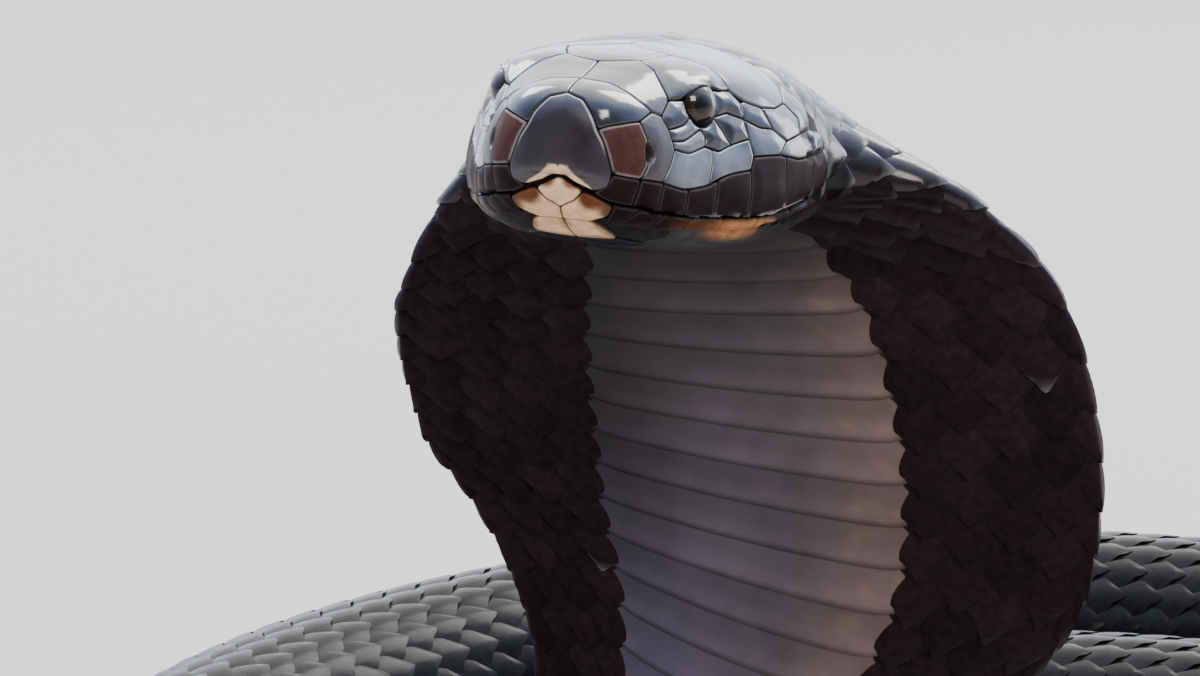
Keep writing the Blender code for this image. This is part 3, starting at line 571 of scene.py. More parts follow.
def round_at(s, share):
    """The w at this share of the half girth, measured from the back's midline."""
    row = np.interp(s, GIRTH_AT, np.arange(len(GIRTH_AT)))
    column = np.clip(np.abs(share), 0, 1) * (ROUND.shape[1] - 1)
    i = np.minimum(row.astype(int), len(GIRTH_AT) - 2)
    j = np.minimum(column.astype(int), ROUND.shape[1] - 2)
    f, g = row - i, column - j
    near = ROUND[i, j] * (1 - g) + ROUND[i, j + 1] * g
    far = ROUND[i + 1, j] * (1 - g) + ROUND[i + 1, j + 1] * g
    return np.sign(share) * (near * (1 - f) + far * f)


def eye_place(side):
    """The middle of the eyeball, side 1 for the snake's own left."""
    between = np.array((0, 0, EYE_HEIGHT)) - EYE_DROP * UP
    return between + side * EYE_SIDE * ACROSS


def model_shift():
    """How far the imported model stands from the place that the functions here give."""
    low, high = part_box("eye_left")
    return (np.array(low) + np.array(high)) / 2 - eye_place(1) * MM


SHIFT = model_shift()


def eye_axis(side):
    """The direction that the eye faces."""
    sideways = side * ACROSS * math.cos(EYE_FORWARD) - BACK * math.sin(EYE_FORWARD)
    return sideways * math.cos(EYE_UPWARD) + UP * math.sin(EYE_UPWARD)


def from_eye(points, side):
    """Each point's distance from the line that the eye looks along, on that side only."""
    offset = points - eye_place(side)
    axis = eye_axis(side)
    depth = offset @ axis
    away = np.linalg.norm(offset - depth[..., None] * axis, axis=-1)
    return np.where(depth > 0, away, FAR_AWAY)


def over_eye(points, normals):
    """How far each point has to rise along its normal to clear the eyeball."""
    rise = np.zeros(len(points))
    for side in (-1, 1):
        offset = eye_place(side) - points
        depth = (offset * normals).sum(1)
        beside = (offset**2).sum(1) - depth**2
        half = np.sqrt(np.maximum((EYE_RADIUS - EYE_BACK) ** 2 - beside, 0))
        rise = np.maximum(rise, np.where(half > 0, depth + half + LID_THICKNESS * ease(half, 0, 0.8), 0))
    return rise


def nostril_pit(points):
    """How far the skin sinks at the nostrils: each is an upright oval."""
    sink = np.zeros(points.shape[:-1])
    for side in (-1, 1):
        offset = points - skin(NOSTRIL_AT[0], side * NOSTRIL_AT[1])
        tall = offset @ UP
        away = np.sqrt(np.maximum((offset**2).sum(-1) - tall**2, 0) + (tall * NOSTRIL_SHAPE) ** 2)
        inside = fade(away, NOSTRIL_RADIUS * 0.4, NOSTRIL_RADIUS * 1.25)
        sink = np.maximum(sink, NOSTRIL_DEPTH * inside)
    return sink


def sunk(points, s, w):
    """How far the skin sinks at the eyes, the nostrils and the mouth line."""
    sink = nostril_pit(points)
    for side in (-1, 1):
        at_eye = fade(from_eye(points, side), EYE_OPENING - 0.2, EYE_OPENING + 0.5)
        sink = np.maximum(sink, SINK_AT_EYE * at_eye)
    mouth = np.exp(-(((np.abs(w) - lip_line(s)) / 0.008) ** 2)) * LIP_DEPTH * fade(s, 38.0, 42.0)
    sink = np.maximum(sink, mouth * ease(s, 0.3, 0.8))
    covered = fade(s, 33.0, 37.0) * (1 - ease(np.abs(w), 0.7, 0.76) * ease(s, 5.0, 9.0))
    return np.maximum(sink, UNDER_SHIELDS * covered)


def placed(name, data):
    """A new object of this mesh, light or camera, in the scene."""
    made = bpy.data.objects.new(name, data)
    bpy.context.scene.collection.objects.link(made)
    return made


def build(name, points, triangles, finish, slot, spots, tints):
    """A piece from points in millimetres and triangles, on the root body.

    Its spots are texture places, for each point or for each corner. Its tints are red, green,
    blue and how polished it is there.
    """
    mesh = bpy.data.meshes.new(name)
    mesh.vertices.add(len(points))
    mesh.vertices.foreach_set("co", (points * MM + SHIFT).astype(np.float32).ravel())
    mesh.loops.add(len(triangles) * 3)
    mesh.loops.foreach_set("vertex_index", triangles.astype(np.int32).ravel())
    mesh.polygons.add(len(triangles))
    mesh.polygons.foreach_set("loop_start", np.arange(len(triangles), dtype=np.int32) * 3)
    mesh.update(calc_edges=True)
    mesh.validate()
    corners = spots if len(spots) == triangles.size else spots[triangles.ravel()]
    mesh.uv_layers.new(name="OFBake").data.foreach_set("uv", corners.astype(np.float32).ravel())
    layer = mesh.color_attributes.new("tint", "FLOAT_COLOR", "POINT")
    layer.data.foreach_set("color", tints.astype(np.float32).ravel())
    mesh.materials.append(finish)
    mesh.shade_smooth()
    mesh.set_sharp_from_angle(angle=math.radians(SHARP_FROM))
    obj = placed(name, mesh)
    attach(obj, "root")
    return obj


def grid_faces(rows, columns, closed=False):
    """Triangles of a grid of points, wound so that they face out of the skin."""
    k, j = np.meshgrid(np.arange(rows - 1), np.arange(columns if closed else columns - 1), indexing="ij")
    a = k * columns + j
    b = k * columns + (j + 1) % columns
    c, d = b + columns, a + columns
    return np.concatenate([np.stack([a, b, c], -1).reshape(-1, 3), np.stack([a, c, d], -1).reshape(-1, 3)])


def tube_faces(rings, count):
    """The faces of a tube of rings of points, with one more point at either end to close it."""
    first = np.arange(count)
    last = first + (rings - 1) * count
    low, high = np.full(count, rings * count), np.full(count, rings * count + 1)
    ends = (np.roll(first, -1), first, low), (last, np.roll(last, -1), high)
    return np.concatenate([grid_faces(rings, count, closed=True), *(np.stack(end, -1) for end in ends)])


def closing(rim, count):
    """The faces under a tile whose top has count points, by a ring under its rim and one point."""
    under = count + np.arange(len(rim))
    middle = np.full(len(rim), count + len(rim))
    after, under_after = np.roll(rim, -1), np.roll(under, -1)
    sides = (after, rim, under), (after, under, under_after), (under_after, under, middle)
    return np.concatenate([np.stack(side, -1) for side in sides])


def tile(rows, columns):
    """A closed tile's rim and faces, with a grid of points on top."""
    rim = (
        [(0, j) for j in range(columns)] + [(k, columns - 1) for k in range(1, rows)]
        + [(rows - 1, j) for j in range(columns - 2, -1, -1)] + [(k, 0) for k in range(rows - 2, 0, -1)]
    )
    rim = np.array([k * columns + j for k, j in rim])
    return rim, np.concatenate([grid_faces(rows, columns), closing(rim, rows * columns)])


def tile_points(s, w, height, rim):
    """The points of tiles: their tops, then the ring and the point under each."""
    under = above(s[:, rim], w[:, rim], np.full((len(s), len(rim)), -TILE_ROOT))
    return np.concatenate([above(s, w, height), under, under.mean(axis=1, keepdims=True)], axis=1)


def for_tiles(values, rim, middle):
    """A value for every point of the tiles, from those of their tops and one for the middle."""
    return np.concatenate([values, values[:, rim], middle], axis=1)


def build_tiles(name, points, faces, finish, slot, spots, tints):
    """One piece of tiles that all have the same faces."""
    first = np.arange(len(points)) * points.shape[1]
    triangles = (faces[None] + first[:, None, None]).reshape(-1, 3)
    rows = points.reshape(-1, 3), spots.reshape(-1, 2), tints.reshape(-1, 4)
    return build(name, rows[0], triangles, finish, slot, *rows[1:])


def unwrapped(s, w, start, end):
    """Each point's place on the unwrapped skin of one length of the body."""
    return np.stack([(s - start) / (end - start), (w + 1) / 2], -1) * 0.98 + 0.01


def patches(s, w, middle_s, middle_w, start, end):
    """Texture places: every scale is a small patch at its own root."""
    root = unwrapped(middle_s, middle_w, start, end)
    reach_s = np.abs(s - middle_s).max(axis=1, keepdims=True) + 1e-6
    reach_w = np.abs(w - middle_w).max(axis=1, keepdims=True) + 1e-6
    offset = np.stack([(s - middle_s) / reach_s, (w - middle_w) / reach_w], -1)
    return root + offset * PATCH / 2


def scale_shape(rows, columns):
    """One scale's points: along (-0.5 to 0.5), across (-1 to 1), share of its length, dome, lip."""
    t = np.linspace(0, 1, rows) ** 0.85
    x = np.linspace(-1, 1, columns)
    t, x = np.meshgrid(t, x, indexing="ij")
    wide = smooth(t, (0, 0.25, 0.5, 0.75, 0.9, 1), (0.5, 0.9, 1.0, 0.88, 0.66, 0.42))
    along = t * (1 - 0.34 * (x * t) ** 2) - 0.5
    dome = (1 - x**2) * np.sin(np.pi * np.clip(t, 0.05, 0.93)) ** 0.7
    lip = -0.08 * ease(t, 0.86, 1.0) - 0.1 * np.abs(x) ** 4
    return [values.ravel()[None] for values in (along, x * wide, t, dome, lip)]


def scale_lattice():
    """The middle of every dorsal scale: s, share of the half girth, step and row width."""
    found = []
    s, i = STEP_STATIONS[0], 0
    while s < LENGTH - 2:
        step = float(smooth(s, STEP_STATIONS, STEPS))
        rows = next(n for at, n in reversed(ROW_CHANGES) if s >= at)
        edge = float(np.interp(s, GIRTH_AT, BELLY_EDGE))
        girth = float(np.interp(s, GIRTH_AT, HALF_GIRTH))
        row = 2 * edge * girth / rows
        for j in range(-(rows // 2), rows // 2 + 1):
            if (j - i) % 2 == 0:
                found.append((s, j * row / girth, step, row))
        s += step / 2
        i += 1
    return np.array(found)


def lay_scales(name, centres, start, end, finish, colours):
    """One piece of scales, each a closed tile that overlaps the next."""
    grid, slot = (CLOSE_GRID, "hood_scales") if end <= HOOD_END else (FAR_GRID, "body_scales")
    along, across, t, dome, lip = scale_shape(*grid)
    rim, faces = tile(*grid)
    s0, share0, step, row, tuck = (centres[:, k : k + 1] for k in range(5))
    w0 = round_at(s0, share0)
    on_hood = hood_share(s0)
    # Spread apart on the hood, so that the skin shows between them
    half = np.minimum(row * SCALE_HALF_WIDTH, WIDEST_ON_HOOD + (1 - on_hood) * WIDER_OFF_HOOD)
    length = step * (SCALE_LENGTH - SHORTER_ON_HOOD * on_hood)
    s = s0 + along * length
    w = round_at(s, share0 + across * half / np.interp(s0, GIRTH_AT, HALF_GIRTH))
    size = np.minimum(half, length / 2)
    height = -SCALE_SINK + size * (SCALE_TILT * t + SCALE_DOME * dome + SCALE_LIP * lip) - tuck
    every_s, every_w = for_tiles(s, rim, s0), for_tiles(w, rim, w0)
    tints = colours(every_s, every_w, s0, for_tiles(t + 0 * s, rim, 0 * s0 + 0.5))
    spots = patches(every_s, every_w, s0, w0, start, end)
    build_tiles(name, tile_points(s, w, height, rim), faces, finish, slot, spots, tints)


def scute_run(start, end):
    """Each belly scute's start along the spine and its step."""
    found = []
    while start < end:
        step = float(smooth(start, STEP_STATIONS, STEPS))
        found.append((start, step))
        start += step
    return np.array(found)


def lay_scutes(name, run, start, end, finish, colours, halves=((-1, 1),)):
    """The belly's scutes, whole across the belly, or in two halves under the tail."""
    rows, columns = WHOLE_SCUTE if len(halves) == 1 else HALF_SCUTE
    t, x = np.meshgrid(np.linspace(0, 1, rows) ** 0.8, np.linspace(-1, 1, columns), indexing="ij")
    t, x = t.ravel()[None], x.ravel()[None]
    rim, faces = tile(rows, columns)
    s0, step = run[:, :1], run[:, 1:2]
    span = smooth(s0, SCUTE_STATIONS, SCUTE_SPAN)
    s = s0 + step * (SCUTE_LENGTH * t * (1 - 0.09 * np.abs(x) ** 12)) - SCUTE_AHEAD * step
    rise = SCUTE_TILT * t - SCUTE_LIP * ease(t, 0.9, 1.0) - SCUTE_ENDS * np.abs(x) ** 16
    height = SCUTE_LIFT + step * rise
    every_s, every_t = for_tiles(s, rim, s0), for_tiles(t + 0 * s, rim, 0 * s0 + 0.5)
    made = []
    for low, high in halves:
        inner = (low + (x + 1) / 2 * (high - low)) * span * 1.06
        w = np.where(inner < 0, -1 - inner, 1 - inner)
        middle_w = (-1 if low + high > 0 else 1) * (1 - 0.5 * span * abs(low + high))
        every_inner = for_tiles(inner, rim, inner.mean(axis=1, keepdims=True))
        offset = np.stack([(every_s - s0) / (step * 1.3) - 0.5, every_inner / (2 * span)], -1)
        spots = unwrapped(s0, middle_w, start, end) + offset * PATCH
        made.append((tile_points(s, w, height, rim), spots, colours(every_s, every_inner, s0, every_t)))
    points, spots, tints = (np.concatenate(parts) for parts in zip(*made))
    slot = "hood_scales" if end <= HOOD_END else "body_scales"
    build_tiles(name, points, faces[:, ::-1], finish, slot, spots, tints)


def chart_table():
    """Stations and radii of the head laid out flat: beyond the snout it keeps every angle."""
    stations = np.linspace(CHART_FROM, 60, 600)
    growth = math.pi / np.interp(stations, GIRTH_AT, HALF_GIRTH)
    run = np.concatenate([[0], np.cumsum((growth[1:] + growth[:-1]) / 2 * np.diff(stations))])
    return stations, math.sqrt(CHART_FROM) * np.exp(run)


CHART_AT, CHART_RADIUS = chart_table()


def chart_of(s, w):
    """The head's skin laid out flat round the snout tip, so that an outline can cross it."""
    radius = np.where(np.asarray(s) < CHART_FROM, np.sqrt(s), np.interp(s, CHART_AT, CHART_RADIUS))
    return radius * np.sin(np.pi * np.asarray(w)), radius * np.cos(np.pi * np.asarray(w))


def off_chart(points):
    """The s and w of points on the chart."""
    points = np.asarray(points, float)
    radius = np.maximum(np.linalg.norm(points, axis=-1), SNOUT_RADII[0])
    s = np.where(radius < CHART_RADIUS[0], radius**2, np.interp(radius, CHART_RADIUS, CHART_AT))
    return s, np.arctan2(points[..., 0], points[..., 1]) / math.pi


def on_chart(points):
    """Where points of the chart are on the skin."""
    return skin(*off_chart(points))


def divided(outline, step):
    """The outline with points added so that each side is about as long as step on the skin."""
    outline = np.array(outline, float)
    found = []
    for p, q in zip(outline, np.roll(outline, -1, axis=0)):
        side = p + (q - p) * np.linspace(0, 1, 9)[:, None]
        length = np.linalg.norm(np.diff(on_chart(side), axis=0), axis=1).sum()
        pieces = max(1, int(length / step + 0.5))
        found += [p + (q - p) * k / pieces for k in range(pieces)]
    return np.array(found)


def rounded(outline, turns=2):
    """The outline with its corners cut a little, twice over, so that they are round."""
    for _ in range(turns):
        after = np.roll(outline, -1, axis=0)
        outline = np.stack([outline * 0.86 + after * 0.14, outline * 0.14 + after * 0.86], 1).reshape(-1, 2)
    return outline


def within(points, outline):
    """Which points are inside the outline."""
    x, y = points[:, 0], points[:, 1]
    crossed = np.zeros(len(points), int)
    for p, q in zip(outline, np.roll(outline, -1, axis=0)):
        if p[1] != q[1]:
            spans = (p[1] > y) != (q[1] > y)
            crossed += spans & (x < p[0] + (y - p[1]) * (q[0] - p[0]) / (q[1] - p[1]))
    return crossed % 2 == 1


def filling(rim, apart):
    """Points inside the outline, about this far apart on the skin."""
    low, high = rim.min(0), rim.max(0)
    near = (rim + rim.mean(0)) / 2
    e = 0.02
    across = np.linalg.norm(on_chart(near + (e, 0)) - on_chart(near - (e, 0)), axis=1).mean() / (2 * e)
    up = np.linalg.norm(on_chart(near + (0, e)) - on_chart(near - (0, e)), axis=1).mean() / (2 * e)
    x = np.arange(low[0], high[0], apart / across)
    y = np.arange(low[1], high[1], apart / up)
    grid = np.stack(np.meshgrid(x, y), -1).reshape(-1, 2)
    return grid[within(grid, rim)]


def nearest(points, rim):
    """The distance from each point to the nearest place on a closed line."""
    start, side = rim[None], (np.roll(rim, -1, axis=0) - rim)[None]
    offset = points[:, None] - start
    share = np.clip((offset * side).sum(-1) / np.maximum((side**2).sum(-1), 1e-9), 0, 1)
    return np.linalg.norm(offset - share[..., None] * side, axis=-1).min(axis=1)


def inner_ring(rim, depth):
    """The outline's points moved in by this much on the skin, where there is room."""
    ahead = np.roll(rim, -1, axis=0) - np.roll(rim, 1, axis=0)
    inward = unit(np.stack([-ahead[:, 1], ahead[:, 0]], -1))
    if np.cross(rim, np.roll(rim, -1, axis=0)).sum() < 0:
        inward = -inward
    e = 0.004
    metric = np.linalg.norm(on_chart(rim + inward * e) - on_chart(rim), axis=1) / e
    ring = rim + inward * (depth / np.maximum(metric, 1))[:, None]
    ring = ring[within(ring, rim)]
    return ring[nearest(on_chart(ring), on_chart(rim)) > depth * 0.85]


def snout_points(rim):
    """More points round the snout tip, where the flat layout is too small for its grid."""
    # From the back (0) to the belly (1), closest together at the sides
    turns = np.concatenate([np.linspace(0, 0.4, 12), np.linspace(0.42, 0.6, 19), np.linspace(0.62, 1, 20)])
    turns = np.concatenate([turns, -turns[1:-1]])
    radius, turn = np.meshgrid(SNOUT_RADII, turns * math.pi)
    points = np.stack([radius * np.sin(turn), radius * np.cos(turn)], -1)
    points = points[(radius < 0.6) | (np.abs(turn) > 0.6 * math.pi)]
    points = points[within(points, rim)]
    return points[nearest(on_chart(points), on_chart(rim)) > RING_DEPTHS[-1] + 0.1]


def shield_faces(name, rim):
    """A shield's points on the flat layout, those of its rim first, and its faces."""
    fine = name.startswith(ROUND_EYE + ("front_nasal", "back_nasal", "rostral"))
    apart = FINE_GRID if fine else SHIELD_GRID
    rings = RING_DEPTHS + ROSTRAL_RINGS if name == "rostral" else RING_DEPTHS
    inside = filling(rim, apart)
    inside = inside[nearest(on_chart(inside), on_chart(rim)) > rings[-1] + apart * 0.4]
    inside = [inside, *(inner_ring(rim, depth) for depth in rings)]
    if name == "rostral":
        inside.append(snout_points(rim))
    edges = [(i, (i + 1) % len(rim)) for i in range(len(rim))]
    points = [Vector(p) for p in np.concatenate([rim, *inside])]
    points, _, faces, *_ = delaunay_2d_cdt(points, edges, [], 1, 1e-7)
    flat, faces = np.array([tuple(p) for p in points]), np.array(faces)
    a, b, c = (flat[faces[:, k]] for k in range(3))
    return flat, np.where((np.cross(b - a, c - a) > 0)[:, None], faces, faces[:, ::-1])


def shield(name, outline, opening):
    """One shield: its points, faces, and each point's s, w and depth in from the rim."""
    rim = divided([chart_of(*p) for p in outline], 1.2)
    rim = divided(rounded(rim), SHIELD_GRID * 0.7)
    rim_s, rim_w = off_chart(rim)
    rim_place = skin(rim_s, rim_w)
    flat, order = shield_faces(name, rim)
    s, w = off_chart(flat)
    place, normal = skin(s, w), outwards(s, w)
    depth = nearest(place, rim_place)
    sunk_in, over = nostril_pit(place), np.zeros(len(depth))
    if opening:
        over = over_eye(place, normal)
        for side in (-1, 1):
            away = from_eye(place, side) - opening
            depth = np.minimum(depth, np.maximum(away, 0))
            sunk_in = np.maximum(sunk_in, SINK_AT_EYE * ease(-away, -0.05, 0.45))
        over = over * (sunk_in < 0.1)
    edge = min(SHIELD_EDGE, depth.max() * 0.7)
    rise = np.sin(math.pi / 2 * np.clip(depth / edge, 0, 1)) ** 0.8
    height = SHIELD_SEAM + (SHIELD_HEIGHT - SHIELD_SEAM) * rise
    dome = ROUND_EYE_DOME if name.startswith(ROUND_EYE) else SHIELD_DOME
    height += dome * ease(depth, 0, min(depth.max(), 2.0) + 0.01)
    if name == "supraocular":
        ridge = BROW_RIDGE * ease(np.abs(w), 0.25, 0.285) * ease(s, 9.5, 12.0) * fade(s, 16.5, 19.0)
        height += ridge * rise
    height = np.maximum(height, over + (height - SHIELD_HEIGHT) * 0.3) - sunk_in
    top = place + normal * height[:, None]
    under = rim_place - outwards(rim_s, rim_w) * SHIELD_ROOT
    walls = closing(np.arange(len(rim)), len(flat))
    if np.cross(rim, np.roll(rim, -1, axis=0)).sum() <= 0:
        walls = walls[:, ::-1]
    every_s = np.concatenate([s, rim_s, [s.mean()]])
    every_w = np.concatenate([w, rim_w, [w[0]]])
    every_depth = np.concatenate([depth, np.zeros(len(rim) + 1)])
    points = np.concatenate([top, under, under.mean(0, keepdims=True)])
    return points, np.concatenate([order, walls]), every_s, every_w, every_depth


def lip_shields(seams, lip_side, far_edge):
    """A row of shields along a lip: their far edge follows the outline given."""
    far_a, far_w = zip(*far_edge)
    for start, end in zip(seams, seams[1:]):
        stops = np.linspace(start, end, 5)
        lip = np.interp(stops, LIP_STATIONS, LIP_LINE) + lip_side * LIP_GAP
        between = [p for p in far_edge if start < p[0] < end]
        far = [(start, np.interp(start, far_a, far_w)), *between, (end, np.interp(end, far_a, far_w))]
        yield [*zip(stops, lip), *far[::-1]]


def head_outlines():
    """Every shield's name and whole outline."""
    for name, half in MIDDLE_SHIELDS.items():
        yield name, list(half) + [(a, -w) for a, w in half[::-1] if w not in (0, 1)]
    pairs = list(SIDE_SHIELDS.items())
    pairs += [("upper_lip", outline) for outline in lip_shields(UPPER_LIP_SEAMS, -1, UPPER_LIP_TOP)]
    pairs += [("lower_lip", outline) for outline in lip_shields(LOWER_LIP_SEAMS, 1, LOWER_LIP_FOOT)]
    for name, outline in pairs:
        yield name, outline
        yield name, [(a, -w) for a, w in outline]


# Colours, linear
CROWN = (0.012, 0.014, 0.02)
FLANK = (0.009, 0.008, 0.0085)
HOOD_FLANK = (0.018, 0.0095, 0.011)
BELLY = (0.085, 0.067, 0.078)
# A painted bluish sky reflection on the belly
BELLY_SKY_SHEEN = (0.08, 0.07, 0.115)
# Painted warm light bounced onto the scutes' ends, and olive spots within it
WARM_BOUNCE_LIGHT = (0.17, 0.115, 0.1)
OLIVE_LIGHT_SPOTS = (0.2, 0.15, 0.07)
# A painted highlight for the rims of shields and the tips of scales
PAINTED_RIM_HIGHLIGHT = (0.5, 0.48, 0.45)
ROSTRAL = (0.017, 0.0105, 0.016)
LIPS = (0.012, 0.005, 0.0052)
CREAM = (0.86, 0.57, 0.32)
STAIN = (0.13, 0.045, 0.016)
AMBER = (0.6, 0.24, 0.08)
NASAL = (0.065, 0.028, 0.021)
# A painted reflection of pale sky, for the shields round the eye and on the cheek
CHEEK_SKY_REFLECTION = (0.16, 0.18, 0.21)
SKIN_SHADE = 0.6  # the skin between the scales has this share of their brightness
IRIS_REACH = 0.003  # metres
# The eye's colours from the middle of its pupil to that distance
IRIS = (
    (0.0, (0.001, 0.001, 0.001)), (0.36, (0.001, 0.001, 0.001)), (0.42, (0.03, 0.013, 0.005)),
    (0.54, (0.012, 0.005, 0.002)), (0.72, (0.004, 0.002, 0.0015)), (0.86, (0.002, 0.001, 0.001)),
)

# Where on the head a colour or a painted reflection shows: the shields' name, side, s, w, reach in s,
# reach in w, colour and strength. Side 0 is both.
MARKS = (
    ("mental", 0, 1.1, 1.0, 2.0, 0.5, CREAM, 1.0),
    ("mental", 0, 0.72, 0.92, 0.3, 0.07, STAIN, 0.95),
    ("first_lower_lip", 0, 2.2, 0.95, 2.2, 0.16, CREAM, 1.0),
    ("first_lower_lip", 0, 1.35, 0.84, 0.9, 0.085, STAIN, 1.0),
    ("first_lower_lip", 0, 2.6, 0.8, 0.8, 0.05, STAIN, 0.8),
    ("chin_front", 0, 6.0, 0.95, 4.6, 0.12, CREAM, 0.95),
    ("chin_front", 0, 8.5, 0.93, 1.6, 0.1, STAIN, 0.5),
    ("chin_front", 0, 5.5, 0.885, 2.5, 0.022, STAIN, 0.6),
    ("chin_front", 0, 4.4, 1.0, 1.5, 0.03, STAIN, 0.35),
    ("lower_lip", 1, 20.5, 0.69, 7.5, 0.07, AMBER, 0.8),
    ("lower_lip", 1, 13.0, 0.7, 5.0, 0.07, STAIN, 0.6),
    ("lower_lip", -1, 17.0, 0.68, 6.0, 0.05, STAIN, 0.8),
    ("front_nasal", 0, 2.4, 0.45, 8.0, 0.6, NASAL, 1.0),
    ("back_nasal", 0, 5.0, 0.45, 2.5, 0.12, NASAL, 0.35),
    # Painted sky reflection on the shields beside and below the eye
    ("preocular_2", 0, 10.0, 0.39, 3.0, 0.06, CHEEK_SKY_REFLECTION, 0.4),
    ("preocular_3", 0, 10.0, 0.43, 4.0, 0.05, CHEEK_SKY_REFLECTION, 0.6),
    ("cheek_front", 0, 10.0, 0.49, 4.5, 0.07, CHEEK_SKY_REFLECTION, 0.8),
    ("cheek_back", 0, 16.5, 0.49, 4.0, 0.05, CHEEK_SKY_REFLECTION, 0.75),
    ("temporal_2", 0, 23.5, 0.43, 4.0, 0.05, CHEEK_SKY_REFLECTION, 0.4),
    ("temporal_3", 0, 28.0, 0.38, 4.0, 0.05, CHEEK_SKY_REFLECTION, 0.2),
)
DARK = {"rostral": ROSTRAL, "upper_lip": LIPS, "lower_lip": LIPS}
RIM_HIGHLIGHTS = {"rostral": 0.5, "front_nasal": 0.3, "upper_lip": 0.05}  # how strong the painted highlight along a shield's rim is
POLISH = {
    "rostral": 0.65, "front_nasal": 0.25, "back_nasal": 0.5, "upper_lip": 0.3, "lower_lip": 0.3,
    "mental": 0.4, "first_lower_lip": 0.4, "chin_front": 0.4, "chin_back": 0.4,
}
DULL = 0.45  # shields with less polish than this are a piece of their own
ARCH_ALONG = (0.47, 2.2)  # the stretch of mouth line that the rostral's cream arch follows
ARCH_HEIGHT, ARCH_FALL = 1.05, 0.4


def mixed(base, colour, share):
    """The base colours with this share of another colour laid over them."""
    return base * (1 - share[..., None]) + np.array(colour) * share[..., None]


def plain(colour, s):
    """This colour at every place."""
    return np.array(colour) + np.zeros((*np.shape(s), 1))


def cream_arch(s, w):
    """How cream the rostral is: in a band along the mouth line, which thins out to the sides."""
    along = np.linspace(*ARCH_ALONG, 60)
    line = lip_line(along) - LIP_GAP
    mouth = np.concatenate([skin(along, line), skin(along, -line)])
    places = skin(s, w)
    away = np.linalg.norm(places[:, None] - mouth[None], axis=-1).min(axis=1)
    beside = np.abs((places - SPINE[0]) @ ACROSS)
    high = (ARCH_HEIGHT - ARCH_FALL * ease(beside, 1.0, 3.6)) * fade(beside, 3.4, 3.9)
    off_tip = s > SNOUT_RADII[0] ** 2 * 2
    return fade(away, high, high + 0.2) * (high > 0.05) * off_tip


def shield_tints(name, s, w, depth, random):
    """The colours and polish of one head shield at each of its points."""
    tint = plain(np.array(DARK.get(name, CROWN)) * random.uniform(0.85, 1.2), s)
    for shields, side, at_s, at_w, reach_s, reach_w, colour, strength in MARKS:
        if shields == name and side * w.mean() >= 0:
            away = np.hypot((s - at_s) / reach_s, (np.abs(w) - at_w) / reach_w)
            tint = mixed(tint, colour, strength * fade(away, 0.5, 1.1))
    # Painted highlight: a pale band just inside each shield's rim, strongest on the rostral, and along the
    # upper lip at the mouth
    pale = RIM_HIGHLIGHTS.get(name, 0.03)
    if name == "rostral":
        tint = mixed(tint, CREAM, cream_arch(s, w))
        pale = pale * fade(np.abs(w), 0.4, 0.5)
    if name == "upper_lip":
        from_mouth = lip_line(s) - LIP_GAP - np.abs(w)
        pale = pale + 0.5 * fade(from_mouth, 0.008, 0.02) * ease(s, 11.0, 15.0) * fade(s, 31.0, 37.0)
    tint = mixed(tint, PAINTED_RIM_HIGHLIGHT, pale * ease(depth, 0.04, 0.1) * fade(depth, 0.22, 0.42))
    # Painted shade: each shield darkens towards its rim, so the seams between shields are near black
    tint = tint * (0.12 + 0.88 * ease(depth, 0.02, 0.14))[:, None]
    polish = POLISH.get(name, 1.0) * ease(depth, 0.03, 0.2)
    return np.concatenate([tint, polish[:, None]], axis=1)


def flank_colour(s, w):
    """The back's and sides' colour, a little redder on the hood's front."""
    return mixed(plain(FLANK, s), HOOD_FLANK, hood_share(s) * ease(np.abs(w), 0.44, 0.56))


def belly_colour(s, inner):
    """The belly's colour, with painted light and shade, at s and at inner, which is how far from its
    midline, as w.
    """
    # Painted warm light bounced from below onto the scutes' ends along one edge, with olive spots in it
    warm_light = ease(inner / 0.14, 0.25, 0.95) * fade(s, 120, 200) * ease(s, 50, 75)
    # Painted sky reflection: bluish on one side of the belly, down the hood
    sky_sheen = ease(s, 85, 130) * fade(s, 150, 220) * 0.7
    tint = mixed(plain(BELLY, s), BELLY_SKY_SHEEN, sky_sheen * ease(-inner, -0.06, 0.1))
    tint = mixed(tint, WARM_BOUNCE_LIGHT, 0.7 * warm_light)
    light_blotch = np.sin(s * 0.83 + 3 * np.sin(inner * 47)) * np.sin(inner * 61 + 2 * np.sin(s * 0.37))
    tint = mixed(tint, OLIVE_LIGHT_SPOTS, warm_light * ease(light_blotch, 0.45, 0.9) * 0.5)
    # Painted shadow makes the throat near black under the head, painted light brightens the belly further
    # back, and painted shade darkens one side of the hood's belly; the coil's belly is darker in its own
    # colour
    shade = (1 - 0.75 * ease(s, 150, 260)) * (0.1 + 0.9 * ease(s, 46, 92)) * (1 + 0.5 * ease(s, 90, 150))
    shade = shade * (1 - 0.7 * ease(-inner, 0.02, 0.14) * fade(s, 90, 150))
    return tint * shade[..., None]


